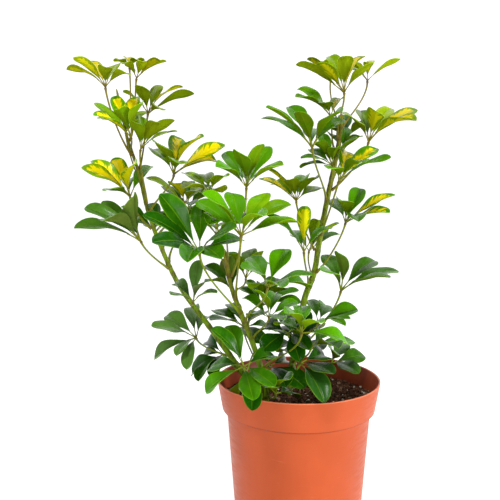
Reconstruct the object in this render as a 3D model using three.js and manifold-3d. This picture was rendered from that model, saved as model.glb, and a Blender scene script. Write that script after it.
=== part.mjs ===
// A potted umbrella plant: three leaning stems in a nursery pot, with every leaf a fan of leaflets.
// Millimetres, +Z up, +Y away from the viewer, and the origin in the middle of the pot's underside.
import * as THREE from 'three';
import { mergeVertices } from 'three/addons/utils/BufferGeometryUtils.js';
import Module from 'manifold-3d';

const wasm = await Module();
wasm.setup();

// The pot is a thin tapered body under a deep, wider rim band.
const POT_HEIGHT = 180;
const POT_BASE_RADIUS = 72;
const BODY_TOP_RADIUS = 83;
const BAND_FOOT_RADIUS = 88;
const RIM_RADIUS = 94;
const BAND_HEIGHT = 34;
const POT_WALL = 2;
const POT_FLOOR = 2.5;
const POT_SIDES = 40;
const RIM_ROUND = 0.7;
const DRAIN_HOLES = 6;
const DRAIN_RADIUS = 4;
const DRAIN_RING_RADIUS = 48;
const DRAIN_SIDES = 10;

// The soil stands below the rim, and every piece that touches another keeps this gap.
const SOIL_TOP = 157;
const SOIL_RELIEF = 2.2;
const SOIL_RINGS = [1, 0.88, 0.72, 0.55, 0.37, 0.19];
const GAP = 0.3;

// A stem is thickest in the soil, thins to its bud, and has a low ring at each leaf's foot.
const STEM_SIDES = 10;
const RING_HEIGHT = 0.5;
const BUD_LENGTH = 6;
const BUD_TIP_SHARE = 0.45;
const STEM_STEP = 12;

// A leaf stalk has a swollen foot on the stem and ends in a small hub that the leaflets grow from.
// It leaves the stem at a slant and bends by a share of its length; each section is [share, radius].
const STALK_SIDES = 5;
const STALK_BOW = 0.25;
const STALK_RISE = 1.1;
const FOOT_RADIUS = 2.1;
const HUB_RADIUS = 2.5;
const HUB_HEIGHT = 1.5;
const HUB_NECK = 3;
const STALK_SECTIONS = [[0, FOOT_RADIUS], [0.07, 1.5], [0.3, 1.0], [0.6, 0.9], [1, 1.1]];

// A leaflet, as shares of its length: a narrow stalk, the widest part beyond the middle, a blunt tip.
const LEAFLET_STATIONS = [
  { along: 0.2, width: 0.1, thickness: 1.3 },
  { along: 0.68, width: 1.0, thickness: 0.75 },
  { along: 1.0, width: 0.5, thickness: 0.75 },
];
const LEAFLET_WIDTH_SHARE = 0.34;
const NEIGHBOUR_SHARE = 0.9;
const DROOP = 40;

// Each stem: its axis as [x, y, height] from the buried end up, and its radius at both ends.
const STEMS = {
  stem_left: {
    foot: 4.1,
    top: 1.2,
    axis: [
      [-26, 3, 97], [-43, 1, 152], [-78, 0, 204], [-101, 0, 237], [-136, 0, 286], [-157, 0, 331],
      [-172, 0, 374], [-182, 2, 417], [-194, 5, 453], [-199, 6, 476], [-206, 6, 510],
    ],
  },
  stem_centre: {
    foot: 3.9,
    top: 2.3,
    axis: [
      [-33, -18, 97], [-37, -20, 152], [-42, -20, 190], [-55, -20, 231], [-66, -20, 259],
      [-78, -18, 293], [-85, -12, 331],
    ],
  },
  stem_right: {
    foot: 4.5,
    top: 2.4,
    axis: [
      [-8, 12, 97], [-10, 11, 152], [-9, 11, 177], [0, 12, 221], [8, 14, 270], [19, 15, 301],
      [24, 16, 333], [33, 18, 383], [38, 18, 408], [46, 18, 451], [49, 18, 484],
    ],
  },
};

// Each leaf: the height of its foot on its stem, its hub, its leaflets' length, how strongly the
// blades roll to face the front, and where the leaflets' tips are seen from the front: millimetres
// right of and above the hub, for the leaflets that point to the near side and to the far side.
const LEAVES = {
  leaf_left_01: {
    foot: 436, hub: [-216, -5, 510], length: 54, roll: -0.35,
    near: [[-33, 32], [1, 21], [29, 14]],
    far: [[-45, 20], [-15, 29], [16, 25]],
  },
  leaf_left_02: {
    foot: 452, hub: [-187, 28, 525], length: 43, roll: -0.35,
    near: [[7, 18], [27, 21], [-16, 16]],
    far: [[12, 18], [34, 18], [-13, 14]],
  },
  leaf_left_03: {
    foot: 466, hub: [-195, 29, 537], length: 34, roll: -0.3,
    near: [[-13, 9], [8, 9]],
    far: [[-18, 7], [-4, 11], [18, 8]],
  },
  leaf_left_04: {
    foot: 420, hub: [-176, 39, 486], length: 60, roll: -0.4,
    near: [[55, 23], [16, 4], [-10, 31]],
    far: [[15, 34], [41, 30], [-28, 24]],
  },
  leaf_left_05: {
    foot: 440, hub: [-184, -30, 453], length: 55, roll: 0.5,
    near: [[-13, 31], [13, 36], [-41, 24]],
    far: [[-39, 37], [-18, 44], [6, 42]],
  },
  leaf_left_06: {
    foot: 382, hub: [-175, -23, 441], length: 50, roll: -0.4,
    near: [[17, 30], [37, 31], [-6, 28]],
    far: [[0, 36], [40, 19]],
  },
  leaf_left_07: {
    foot: 354, hub: [-191, -4, 389], length: 63, roll: 0.8,
    near: [[-28, 7], [-55, 33], [8, 36]],
    far: [[0, 20], [24, 34], [-43, 40], [-16, 45]],
  },
  leaf_left_08: {
    foot: 309, hub: [-177, -19, 340], length: 76, roll: 0.6,
    near: [[-42, 22], [-72, 14], [-7, 50]],
    far: [[-61, 37], [-11, 25], [-42, 45]],
  },
  leaf_left_09: {
    foot: 328, hub: [-149, 69, 340], length: 58, roll: 0.4,
    near: [[-15, 42], [30, 16]],
    far: [[18, 36], [-30, 28]],
  },
  leaf_left_10: {
    foot: 372, hub: [-140, -16, 414], length: 67, roll: 0.7,
    near: [[-23, 37], [8, 11], [35, 43]],
    far: [[-24, 28], [5, 41], [55, 31], [49, 16]],
  },
  leaf_left_11: {
    foot: 345, hub: [-131, 10, 381], length: 54, roll: 0.3,
    near: [[-13, 23], [20, 13]],
    far: [[-7, 20], [25, 18], [-43, 29]],
  },
  leaf_left_12: {
    foot: 292, hub: [-116, -60, 279], length: 48, roll: 0.3,
    near: [[-24, 8], [13, 22], [26, 10]],
    far: [[6, 45], [-20, 20]],
  },
  leaf_left_13: {
    foot: 207, hub: [-119, 10, 224], length: 62, roll: 0.6,
    near: [[-53, 14], [-24, -22], [-11, -37]],
    far: [[-35, 28], [-2, 36], [17, 25], [-49, -26]],
  },
  leaf_left_14: {
    foot: 180, hub: [-87, 17, 202], length: 54, roll: 0.5,
    near: [[-30, -32], [-12, -29]],
    far: [[-24, 1], [-20, 17], [-36, -23]],
  },
  leaf_left_15: {
    foot: 302, hub: [-172, 62, 345], length: 53, roll: 0.3,
    near: [[-8, 6], [30, 14]],
    far: [[-42, 30], [-4, 34], [34, 28], [-38, 18]],
  },
  leaf_left_16: {
    foot: 314, hub: [-134, 86, 373], length: 54, roll: 0.3,
    near: [[-30, 12], [4, 4], [36, 18]],
    far: [[-34, 28], [0, 34], [30, 30]],
  },
  leaf_left_17: {
    foot: 394, hub: [-209, 73, 467], length: 48, roll: 0.2,
    near: [[-28, 16], [26, 12]],
    far: [[-36, 18], [-6, 26], [26, 24]],
  },
  leaf_centre_01: {
    foot: 300, hub: [-60, -12, 400], length: 58, roll: 0.5,
    near: [[-11, 40], [17, 45], [41, 24], [-35, 23]],
    far: [[-25, 39], [26, 44], [5, 15]],
  },
  leaf_centre_02: {
    foot: 276, hub: [-65, -94, 352], length: 61, roll: 0.6,
    near: [[24, 20], [-40, 43]],
    far: [[-33, 22], [-9, 41], [27, 43], [54, 33], [-44, 34], [56, 13]],
  },
  leaf_centre_03: {
    foot: 312, hub: [-100, -16, 395], length: 54, roll: 0.4,
    near: [[-31, 3], [17, 16]],
    far: [[-29, 20], [-6, 19], [13, -1]],
  },
  leaf_centre_04: {
    foot: 318, hub: [-83, -24, 367], length: 54, roll: 0.3,
    near: [[22, -5], [-18, -8]],
    far: [[-20, 18], [22, 20]],
  },
  leaf_centre_05: {
    foot: 250, hub: [-38, -84, 299], length: 56, roll: 0.6,
    near: [[45, 12], [-28, 20], [14, -1]],
    far: [[-17, 30], [17, 37], [40, -1], [-13, -1]],
  },
  leaf_centre_06: {
    foot: 231, hub: [-35, -31, 257], length: 47, roll: 0.6,
    near: [[-18, 32], [14, -3]],
    far: [[-29, 22], [8, 27], [30, 18], [35, 1], [-21, 0]],
  },
  leaf_centre_07: {
    foot: 195, hub: [-3, -82, 251], length: 56, roll: 0.7,
    near: [[-18, 21], [19, 10]],
    far: [[-1, 28], [46, -10], [-23, 8]],
  },
  leaf_centre_08: {
    foot: 260, hub: [-108, -73, 333], length: 70, roll: 0.7,
    near: [[-57, 38], [-12, -10], [37, 25], [-47, 10], [23, -7]],
    far: [[-39, 58], [3, 48], [44, 13]],
  },
  leaf_centre_09: {
    foot: 213, hub: [-62, -97, 220], length: 52, roll: 0.7,
    near: [[32, -21], [9, -34], [-33, 38]],
    far: [[-40, -28], [-34, -2], [-15, 42], [31, 11]],
  },
  leaf_centre_10: {
    foot: 180, hub: [-56, -66, 202], length: 53, roll: 0.9,
    near: [[2, -41]],
    far: [[21, -18], [-14, -33]],
  },
  leaf_centre_11: {
    foot: 245, hub: [-77, 54, 272], length: 54, roll: 0.3,
    near: [[-36, 12], [-6, 42]],
    far: [[-34, 32], [5, 44]],
  },
  leaf_centre_12: {
    foot: 279, hub: [-61, 36, 291], length: 54, roll: 0.3,
    near: [[-21, 30], [17, 31]],
    far: [[6, 34], [29, 19], [-25, 31]],
  },
  leaf_centre_13: {
    foot: 163, hub: [-34, -4, 194], length: 54, roll: 1.0,
    near: [[42, -26], [19, -24]],
    far: [[-13, 13], [21, 4]],
  },
  leaf_centre_14: {
    foot: 163, hub: [-29, -68, 182], length: 51, roll: 0.4,
    near: [[15, 15], [-34, 13], [-12, 7]],
    far: [[21, -3]],
  },
  leaf_centre_15: {
    foot: 302, hub: [-97, 40, 344], length: 54, roll: 0.3,
    near: [[-34, 16], [2, 8], [32, 12]],
    far: [[-32, 30], [4, 36], [36, 24]],
  },
  leaf_centre_16: {
    foot: 241, hub: [-41, 60, 253], length: 50, roll: 0.4,
    near: [[0, 27], [30, 22]],
    far: [[-30, 21], [-19, 31], [17, 34], [45, 19], [52, 4]],
  },
  leaf_centre_17: {
    foot: 188, hub: [-64, 36, 232], length: 56, roll: 0.4,
    near: [[-38, 7], [-16, -22], [22, -22]],
    far: [[-35, 19], [-18, 29], [25, 16], [37, -6]],
  },
  leaf_right_01: {
    foot: 455, hub: [51, 15, 507], length: 62, roll: -0.3,
    near: [[3, 40], [-30, 34], [34, 34]],
    far: [[-43, 37], [-17, 40], [23, 40], [-61, 34]],
  },
  leaf_right_02: {
    foot: 468, hub: [85, 59, 527], length: 46, roll: -0.3,
    near: [[2, 21]],
    far: [[45, 29], [6, 24], [-35, 24], [-24, 14]],
  },
  leaf_right_03: {
    foot: 462, hub: [48, 115, 541], length: 50, roll: -0.3,
    near: [[-11, 19], [30, 20]],
    far: [[10, 19], [40, 12], [-24, 6]],
  },
  leaf_right_04: {
    foot: 442, hub: [37, 23, 481], length: 56, roll: 0.3,
    near: [[-43, 23], [-7, 16]],
    far: [[-38, 30], [12, 19]],
  },
  leaf_right_05: {
    foot: 397, hub: [78, 5, 451], length: 70, roll: 0.5,
    near: [[-30, 32], [8, 36], [53, 23]],
    far: [[-10, 35], [24, 38], [54, 36]],
  },
  leaf_right_06: {
    foot: 385, hub: [9, -51, 441], length: 67, roll: 0.4,
    near: [[-48, 41], [-14, 38], [31, 37]],
    far: [[-55, 31], [-26, 44], [34, 30], [-2, 20]],
  },
  leaf_right_07: {
    foot: 402, hub: [36, -5, 424], length: 47, roll: 0.4,
    near: [[-36, 8], [-19, 25], [5, 20], [27, 30]],
    far: [[-35, -3], [-26, 18], [-12, 35]],
  },
  leaf_right_08: {
    foot: 345, hub: [40, -30, 406], length: 65, roll: 0.4,
    near: [[57, 26], [28, 20], [-12, 14]],
    far: [[9, 32], [40, 35]],
  },
  leaf_right_09: {
    foot: 302, hub: [52, -4, 360], length: 62, roll: 0.5,
    near: [[-8, 25], [50, 11], [15, 1]],
    far: [[16, 39], [-17, 25], [56, 31]],
  },
  leaf_right_10: {
    foot: 326, hub: [-2, 25, 384], length: 53, roll: 0.4,
    near: [[-34, 36], [25, 26], [-8, 25]],
    far: [[-45, 26], [-28, 20], [11, 29], [30, 14]],
  },
  leaf_right_11: {
    foot: 284, hub: [1, -54, 332], length: 56, roll: 0.4,
    near: [[1, 47], [-42, 40]],
    far: [[-12, 23], [28, 24]],
  },
  leaf_right_12: {
    foot: 292, hub: [18, 72, 320], length: 52, roll: 0.4,
    near: [[11, 38]],
    far: [[40, 37], [19, 28], [-22, 20], [39, 22]],
  },
  leaf_right_13: {
    foot: 212, hub: [48, -3, 282], length: 72, roll: 0.4,
    near: [[-24, 24], [-4, 43], [56, 15]],
    far: [[-20, 43], [38, 34], [64, 22]],
  },
  leaf_right_14: {
    foot: 178, hub: [38, 1, 196], length: 54, roll: 0.9,
    near: [[-3, 20], [34, -13]],
    far: [[13, 23], [39, 10]],
  },
  leaf_right_15: {
    foot: 196, hub: [10, -58, 231], length: 54, roll: 0.6,
    near: [[29, -3]],
    far: [[45, 5], [15, 16], [-18, 11]],
  },
  leaf_right_16: {
    foot: 190, hub: [-3, -60, 213], length: 58, roll: 1.0,
    near: [[26, -42], [37, -12]],
    far: [[27, 8], [-20, 12]],
  },
  leaf_right_17: {
    foot: 410, hub: [52, 30, 440], length: 45, roll: 0.3,
    near: [[22, 19]],
    far: [[-15, 21], [3, 28]],
  },
  leaf_right_18: {
    foot: 225, hub: [22, -7, 246], length: 50, roll: 0.7,
    near: [[38, 4], [31, -4]],
    far: [[-13, 25], [8, 21], [45, 15]],
  },
  leaf_right_19: {
    foot: 426, hub: [62, 74, 459], length: 50, roll: 0.2,
    near: [[-32, 14], [30, 16]],
    far: [[-34, 22], [-2, 28], [32, 20]],
  },
  leaf_right_20: {
    foot: 205, hub: [4, 61, 204], length: 56, roll: 0.5,
    near: [[-35, -9], [33, -7]],
    far: [[-33, 19], [-15, 36], [8, 41], [29, 25]],
  },
  leaf_right_21: {
    foot: 218, hub: [-14, -34, 240], length: 46, roll: 0.8,
    near: [[-30, -21], [13, -32], [23, -19]],
    far: [[-26, 4], [16, 13]],
  },
};

// The place from which the tips were read, level with the middle of the foliage.
const EYE = [-56, -738, 401];

const radians = THREE.MathUtils.degToRad;

function vector(x, y, z) {
  return new THREE.Vector3(x, y, z);
}

// The point of a stem's axis at a height, and the axis direction there.
function along(axis, height) {
  const last = axis.length - 1;
  let k = 0;
  while (k < last - 1 && axis[k + 1][2] < height) {
    k += 1;
  }
  const slope = (i, c) => {
    const a = axis[Math.max(i - 1, 0)];
    const b = axis[Math.min(i + 1, last)];
    return (b[c] - a[c]) / (b[2] - a[2]);
  };
  const span = axis[k + 1][2] - axis[k][2];
  const t = (height - axis[k][2]) / span;
  const blend = (c) =>
    (2 * t ** 3 - 3 * t ** 2 + 1) * axis[k][c] +
    (t ** 3 - 2 * t ** 2 + t) * span * slope(k, c) +
    (3 * t ** 2 - 2 * t ** 3) * axis[k + 1][c] +
    (t ** 3 - t ** 2) * span * slope(k + 1, c);
  const lean = (c) => slope(k, c) * (1 - t) + slope(k + 1, c) * t;
  return {
    point: vector(blend(0), blend(1), height),
    direction: vector(lean(0), lean(1), 1).normalize(),
  };
}

// A leaf is named for the stem it grows on.
function stemOf(leafName) {
  return `stem_${leafName.split('_')[1]}`;
}

// The stem's radius at a height, without its rings.
function stemRadius(stem, height) {
  const low = stem.axis[0][2];
  const high = stem.axis[stem.axis.length - 1][2];
  const t = (height - low) / (high - low);
  return stem.foot + (stem.top - stem.foot) * t;
}

// A growing list of points and outward triangles.
function shell() {
  const points = [];
  const faces = [];
  const ring = (centre, across, up, radius, sides) => {
    const first = points.length;
    for (let i = 0; i < sides; i += 1) {
      const angle = (2 * Math.PI * i) / sides;
      const offset = across.clone().multiplyScalar(radius * Math.cos(angle));
      points.push(centre.clone().add(offset).addScaledVector(up, radius * Math.sin(angle)));
    }
    return [...Array(sides).keys()].map((i) => first + i);
  };
  const join = (lower, upper) => {
    lower.forEach((a, i) => {
      const j = (i + 1) % lower.length;
      faces.push([a, lower[j], upper[j]], [a, upper[j], upper[i]]);
    });
  };
  const cap = (loop) => {
    for (let i = 1; i < loop.length - 1; i += 1) {
      faces.push([loop[0], loop[i], loop[i + 1]]);
    }
  };
  return { points, faces, ring, join, cap };
}

function shellGeometry({ points, faces }) {
  const geometry = new THREE.BufferGeometry();
  const values = points.flatMap((p) => [p.x, p.y, p.z]);
  geometry.setAttribute('position', new THREE.Float32BufferAttribute(values, 3));
  geometry.setIndex(faces.flat());
  return geometry;
}

// A closed solid for cutting, made from any closed geometry.
function solid(geometry) {
  const bare = geometry.clone();
  bare.deleteAttribute('normal');
  bare.deleteAttribute('uv');
  const merged = mergeVertices(bare, 1e-4);
  return new wasm.Manifold(new wasm.Mesh({
    numProp: 3,
    vertProperties: Float32Array.from(merged.attributes.position.array),
    triVerts: Uint32Array.from(merged.index.array),
  }));
}

function solidGeometry(manifold) {
  const mesh = manifold.getMesh();
  const geometry = new THREE.BufferGeometry();
  geometry.setAttribute('position', new THREE.BufferAttribute(Float32Array.from(mesh.vertProperties), 3));
  geometry.setIndex(Array.from(mesh.triVerts));
  return geometry;
}

// A shape turned round the Z axis from [radius, height] pairs that start and end on the axis.
function turned(profile) {
  const geometry = new THREE.LatheGeometry(profile.map(([r, z]) => new THREE.Vector2(r, z)), POT_SIDES);
  geometry.rotateX(Math.PI / 2);
  return geometry;
}

// The pot's outline: up the outside, over the rounded rim, and down the inside.
function potSolid() {
  const bandFoot = POT_HEIGHT - BAND_HEIGHT;
  const shellOf = turned([
    [0, 0],
    [POT_BASE_RADIUS - 1, 0],
    [POT_BASE_RADIUS, 1],
    [BODY_TOP_RADIUS, bandFoot],
    [BAND_FOOT_RADIUS - RIM_ROUND, bandFoot],
    [BAND_FOOT_RADIUS, bandFoot + RIM_ROUND],
    [RIM_RADIUS, POT_HEIGHT - RIM_ROUND],
    [RIM_RADIUS - RIM_ROUND, POT_HEIGHT],
    [RIM_RADIUS - POT_WALL, POT_HEIGHT],
    [BAND_FOOT_RADIUS - POT_WALL, bandFoot + POT_WALL],
    [BODY_TOP_RADIUS - POT_WALL, bandFoot + POT_WALL],
    [POT_BASE_RADIUS - POT_WALL, POT_FLOOR],
    [0, POT_FLOOR],
  ]);
  let pot = solid(shellOf);
  for (let i = 0; i < DRAIN_HOLES; i += 1) {
    const angle = (2 * Math.PI * i) / DRAIN_HOLES;
    const hole = new THREE.CylinderGeometry(DRAIN_RADIUS, DRAIN_RADIUS, 4 * POT_FLOOR, DRAIN_SIDES);
    hole.rotateX(Math.PI / 2);
    hole.translate(DRAIN_RING_RADIUS * Math.cos(angle), DRAIN_RING_RADIUS * Math.sin(angle), 0);
    pot = pot.subtract(solid(hole));
  }
  return pot;
}

// The inside radius of the pot's wall at a height above its ledge.
function bandInside(height) {
  const ledge = POT_HEIGHT - BAND_HEIGHT + POT_WALL;
  const t = (height - ledge) / (POT_HEIGHT - ledge);
  return BAND_FOOT_RADIUS - POT_WALL + t * (RIM_RADIUS - BAND_FOOT_RADIUS);
}

// The soil fills the pot up to a loose, uneven surface, with a plain hole for each stem.
function soilSolid(stems) {
  const ledge = POT_HEIGHT - BAND_HEIGHT + POT_WALL;
  const edge = bandInside(SOIL_TOP) - GAP;
  const surface = SOIL_RINGS.map((share) => [edge * share, SOIL_TOP]);
  const mass = turned([
    [0, POT_FLOOR + GAP],
    [POT_BASE_RADIUS - POT_WALL - GAP, POT_FLOOR + GAP],
    [BODY_TOP_RADIUS - POT_WALL - GAP, ledge - GAP],
    [BODY_TOP_RADIUS - POT_WALL - GAP, ledge + GAP],
    [bandInside(ledge) - GAP, ledge + GAP],
    ...surface,
    [0, SOIL_TOP],
  ]);
  const place = mass.attributes.position;
  for (let i = 0; i < place.count; i += 1) {
    const [x, y, z] = [place.getX(i), place.getY(i), place.getZ(i)];
    if (z > SOIL_TOP - 1 && Math.hypot(x, y) < 0.95 * edge) {
      const lumps = Math.sin(x / 9 + 1) * Math.cos(y / 7) + 0.6 * Math.sin((x - y) / 5);
      place.setZ(i, z + SOIL_RELIEF * lumps);
    }
  }
  return stems.reduce((soil, stem) => soil.subtract(solid(shellGeometry(stem))), solid(mass));
}

// A stem as rings along its axis; grow widens it and lowers its end, to cut its hole in the soil.
function stemShell(name, grow) {
  const stem = STEMS[name];
  const low = stem.axis[0][2];
  const high = stem.axis[stem.axis.length - 1][2];
  const nodes = Object.entries(LEAVES).filter(([leaf]) => stemOf(leaf) === name).map(([, leaf]) => leaf.foot);
  const marks = [low, SOIL_TOP, ...nodes, high - BUD_LENGTH].sort((a, b) => a - b);
  const heights = marks.flatMap((z, i) => {
    const next = marks[i + 1];
    return next && next - z > STEM_STEP ? [z, (z + next) / 2] : [z];
  });
  const body = shell();
  let across = vector(1, 0, 0);
  let below = null;
  [...heights, high].forEach((z, i, all) => {
    const { point, direction } = along(stem.axis, z);
    across = across.clone().addScaledVector(direction, -across.dot(direction)).normalize();
    const up = direction.clone().cross(across);
    const ringed = nodes.includes(z) ? RING_HEIGHT : 0;
    const tip = i === all.length - 1 ? BUD_TIP_SHARE : 1;
    const radius = stemRadius(stem, z) * tip + ringed + grow;
    const centre = i === 0 ? point.clone().addScaledVector(direction, -grow) : point;
    const ring = body.ring(centre, across, up, radius, STEM_SIDES);
    if (below) {
      body.join(below, ring);
    } else {
      body.cap([...ring].reverse());
    }
    below = ring;
  });
  body.cap(below);
  return body;
}

// A cubic curve's point and direction.
function bezier(p, t) {
  const s = 1 - t;
  const mix = (a, b, c, d) => p[0].clone().multiplyScalar(a).addScaledVector(p[1], b)
    .addScaledVector(p[2], c).addScaledVector(p[3], d);
  return {
    point: mix(s ** 3, 3 * s * s * t, 3 * s * t * t, t ** 3),
    direction: mix(-s * s, s * s - 2 * s * t, 2 * s * t - t * t, t * t).normalize(),
  };
}

// A leaflet's direction from the hub: its tip is on the line of sight through its place in the
// front view, as far from the hub as the leaflet is long, on the near side or the far side.
function tipDirection(hub, [right, above], length, side) {
  const eye = vector(...EYE);
  const sight = hub.clone().add(vector(right, 0, above)).sub(eye).normalize();
  const from = hub.clone().sub(eye);
  const nearest = from.dot(sight);
  const spare = nearest ** 2 - from.lengthSq() + length ** 2;
  const distance = nearest + side * Math.sqrt(Math.max(spare, 0));
  return eye.addScaledVector(sight, distance).sub(hub).normalize();
}

// A leaf's leaflets in order round the hub, whose axis leans with the fan and whose corners lie
// between neighbouring leaflets.
function fanOf(leaf) {
  const hub = vector(...leaf.hub);
  const rays = [
    ...leaf.near.map((tip) => tipDirection(hub, tip, leaf.length, -1)),
    ...leaf.far.map((tip) => tipDirection(hub, tip, leaf.length, 1)),
  ];
  const normal = vector(0, 0, 1);
  rays.forEach((ray) => normal.addScaledVector(ray, 1 / rays.length));
  normal.normalize();
  const across = vector(0, 1, 0).cross(normal).normalize();
  const up = normal.clone().cross(across);
  const turn = (ray) => Math.atan2(ray.dot(up), ray.dot(across));
  rays.sort((a, b) => turn(a) - turn(b));
  const turns = rays.map(turn);
  const corners = turns.map((angle, i) => {
    const before = i === 0 ? turns.at(-1) - 2 * Math.PI : turns[i - 1];
    return (before + angle) / 2;
  });
  return { hub, rays, normal, across, up, corners };
}

// The widest half-width that keeps a leaflet clear of its nearest neighbour in the fan.
function halfWidth(rays, ray, length) {
  const gaps = rays.filter((other) => other !== ray).map((other) => ray.angleTo(other));
  const room = LEAFLET_STATIONS[1].along * length * Math.tan(Math.min(...gaps) / 2) * NEIGHBOUR_SHARE;
  return Math.min((LEAFLET_WIDTH_SHARE * length) / 2, room);
}

// The stalk, from its foot against the stem up to the hub.
function stalk(body, leaf, stem, fan) {
  const { point, direction } = along(stem.axis, leaf.foot);
  const out = fan.hub.clone().sub(point);
  out.addScaledVector(direction, -out.dot(direction)).normalize();
  const foot = point.clone().addScaledVector(out, stemRadius(stem, leaf.foot) + RING_HEIGHT + GAP);
  const neck = fan.hub.clone().addScaledVector(fan.normal, -HUB_HEIGHT / 2 - HUB_NECK);
  const reach = STALK_BOW * foot.distanceTo(neck);
  const away = out.clone().addScaledVector(direction, STALK_RISE).normalize();
  const bow = foot.clone().addScaledVector(away, reach);
  const curve = [foot, bow, neck.clone().addScaledVector(fan.normal, -reach), neck];
  let side = out.clone().cross(direction);
  let below = null;
  STALK_SECTIONS.forEach(([t, radius]) => {
    const at = bezier(curve, t);
    const ahead = t === 0 ? out : at.direction;
    side = side.clone().addScaledVector(ahead, -side.dot(ahead)).normalize();
    const ring = body.ring(at.point, side, ahead.clone().cross(side), radius, STALK_SIDES);
    if (below) {
      body.join(below, ring);
    } else {
      body.cap([...ring].reverse());
    }
    below = ring;
  });
  return below;
}

// Joins two rings round one axis that have different numbers of points.
function bridge(body, lower, upper, fan) {
  const turnOf = (i) => {
    const arm = body.points[i].clone().sub(fan.hub);
    return Math.atan2(arm.dot(fan.up), arm.dot(fan.across));
  };
  const away = (i) => 1 - Math.cos(turnOf(i) - turnOf(lower[0]));
  const start = upper.reduce((best, i, k) => (away(i) < away(upper[best]) ? k : best), 0);
  const top = [...upper.slice(start), ...upper.slice(0, start)];
  const rising = (ring, first) => {
    const full = 2 * Math.PI;
    const list = ring.map((i) => turnOf(i) - turnOf(ring[0])).map((a) => first + ((a % full) + full) % full);
    return [...list, first + full];
  };
  const low = rising(lower, 0);
  const offset = turnOf(top[0]) - turnOf(lower[0]);
  const high = rising(top, Math.atan2(Math.sin(offset), Math.cos(offset)));
  let i = 0;
  let j = 0;
  while (i < lower.length || j < top.length) {
    const a = lower[i % lower.length];
    const b = top[j % top.length];
    if (j === top.length || (i < lower.length && low[i + 1] <= high[j + 1])) {
      body.faces.push([a, lower[(i + 1) % lower.length], b]);
      i += 1;
    } else {
      body.faces.push([a, top[(j + 1) % top.length], b]);
      j += 1;
    }
  }
}

// One leaflet: a thin arched blade grown out of a side of the hub.
function leaflet(body, root, fan, ray, leaf) {
  const side = fan.normal.clone().cross(ray).normalize();
  const front = vector(0, -1, 0).addScaledVector(ray, ray.y);
  const face = ray.clone().cross(side).addScaledVector(front, leaf.roll).normalize();
  side.copy(face).cross(ray);
  const half = halfWidth(fan.rays, ray, leaf.length);
  const bend = radians(DROOP);
  let below = root;
  LEAFLET_STATIONS.forEach(({ along: share, width, thickness }) => {
    const pitch = bend / 2 - bend * share;
    const reach = ((Math.sin(bend / 2) - Math.sin(pitch)) / bend) * leaf.length;
    const climb = ((Math.cos(pitch) - Math.cos(bend / 2)) / bend) * leaf.length;
    const centre = fan.hub.clone().addScaledVector(ray, reach).addScaledVector(face, climb);
    const across = side.clone().multiplyScalar(half * width);
    const lift = face.clone().multiplyScalar(Math.cos(pitch)).addScaledVector(ray, -Math.sin(pitch))
      .multiplyScalar(thickness / 2);
    const first = body.points.length;
    [[-1, -1], [1, -1], [1, 1], [-1, 1]].forEach(([s, f]) => {
      body.points.push(centre.clone().addScaledVector(across, s).addScaledVector(lift, f));
    });
    const ring = [first, first + 1, first + 2, first + 3];
    body.join(below, ring);
    below = ring;
  });
  body.cap(below);
}

// One leaf: the stalk, the hub as a low drum with a side for each leaflet, and the leaflets.
function leafShell(leaf, stem) {
  const fan = fanOf(leaf);
  const body = shell();
  const neck = stalk(body, leaf, stem, fan);
  const drum = (level) => fan.corners.map((turn) => {
    const arm = fan.across.clone().multiplyScalar(HUB_RADIUS * Math.cos(turn))
      .addScaledVector(fan.up, HUB_RADIUS * Math.sin(turn));
    return body.points.push(fan.hub.clone().add(arm).addScaledVector(fan.normal, level)) - 1;
  });
  const bottom = drum(-HUB_HEIGHT / 2);
  const top = drum(HUB_HEIGHT / 2);
  bridge(body, neck, bottom, fan);
  body.cap(top);
  fan.rays.forEach((ray, i) => {
    const j = (i + 1) % fan.rays.length;
    leaflet(body, [bottom[i], bottom[j], top[j], top[i]], fan, ray, leaf);
  });
  return body;
}

const materials = {
  pot: new THREE.MeshStandardMaterial({ color: 0xd7623a, roughness: 0.45, metalness: 0 }),
  soil: new THREE.MeshStandardMaterial({ color: 0x3a2519, roughness: 1, metalness: 0 }),
  stem: new THREE.MeshStandardMaterial({ color: 0x6f7a1c, roughness: 0.6, metalness: 0 }),
  leaf: new THREE.MeshStandardMaterial({ color: 0x4c8a16, roughness: 0.35, metalness: 0 }),
};

const plant = new THREE.Group();

function add(name, geometry, material) {
  const mesh = new THREE.Mesh(geometry, material);
  mesh.name = name;
  plant.add(mesh);
}

const stemNames = Object.keys(STEMS);
add('pot', solidGeometry(potSolid()), materials.pot);
add('soil', solidGeometry(soilSolid(stemNames.map((name) => stemShell(name, GAP)))), materials.soil);
stemNames.forEach((name) => add(name, shellGeometry(stemShell(name, 0)), materials.stem));
Object.entries(LEAVES).forEach(([name, leaf]) => {
  add(name, shellGeometry(leafShell(leaf, STEMS[stemOf(name)])), materials.leaf);
});

export default plant;
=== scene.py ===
# %% [markdown]
# Potted umbrella plant
#
# This lesson dresses a potted umbrella plant: three leaning stems in a terracotta-coloured nursery
# pot, and some fifty compound leaves, each a fan of leaflets on a long stalk. The bodies that were
# built in CAD come in as a fixed frame. Every piece made here takes the place of one of them, at the
# same spot and size, and gives it the finish and the fine shape that a close look asks for.

# %% The frame and the units
import math
import random
from collections import namedtuple

import bmesh
import bpy
from mathutils import Matrix, Vector


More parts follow.
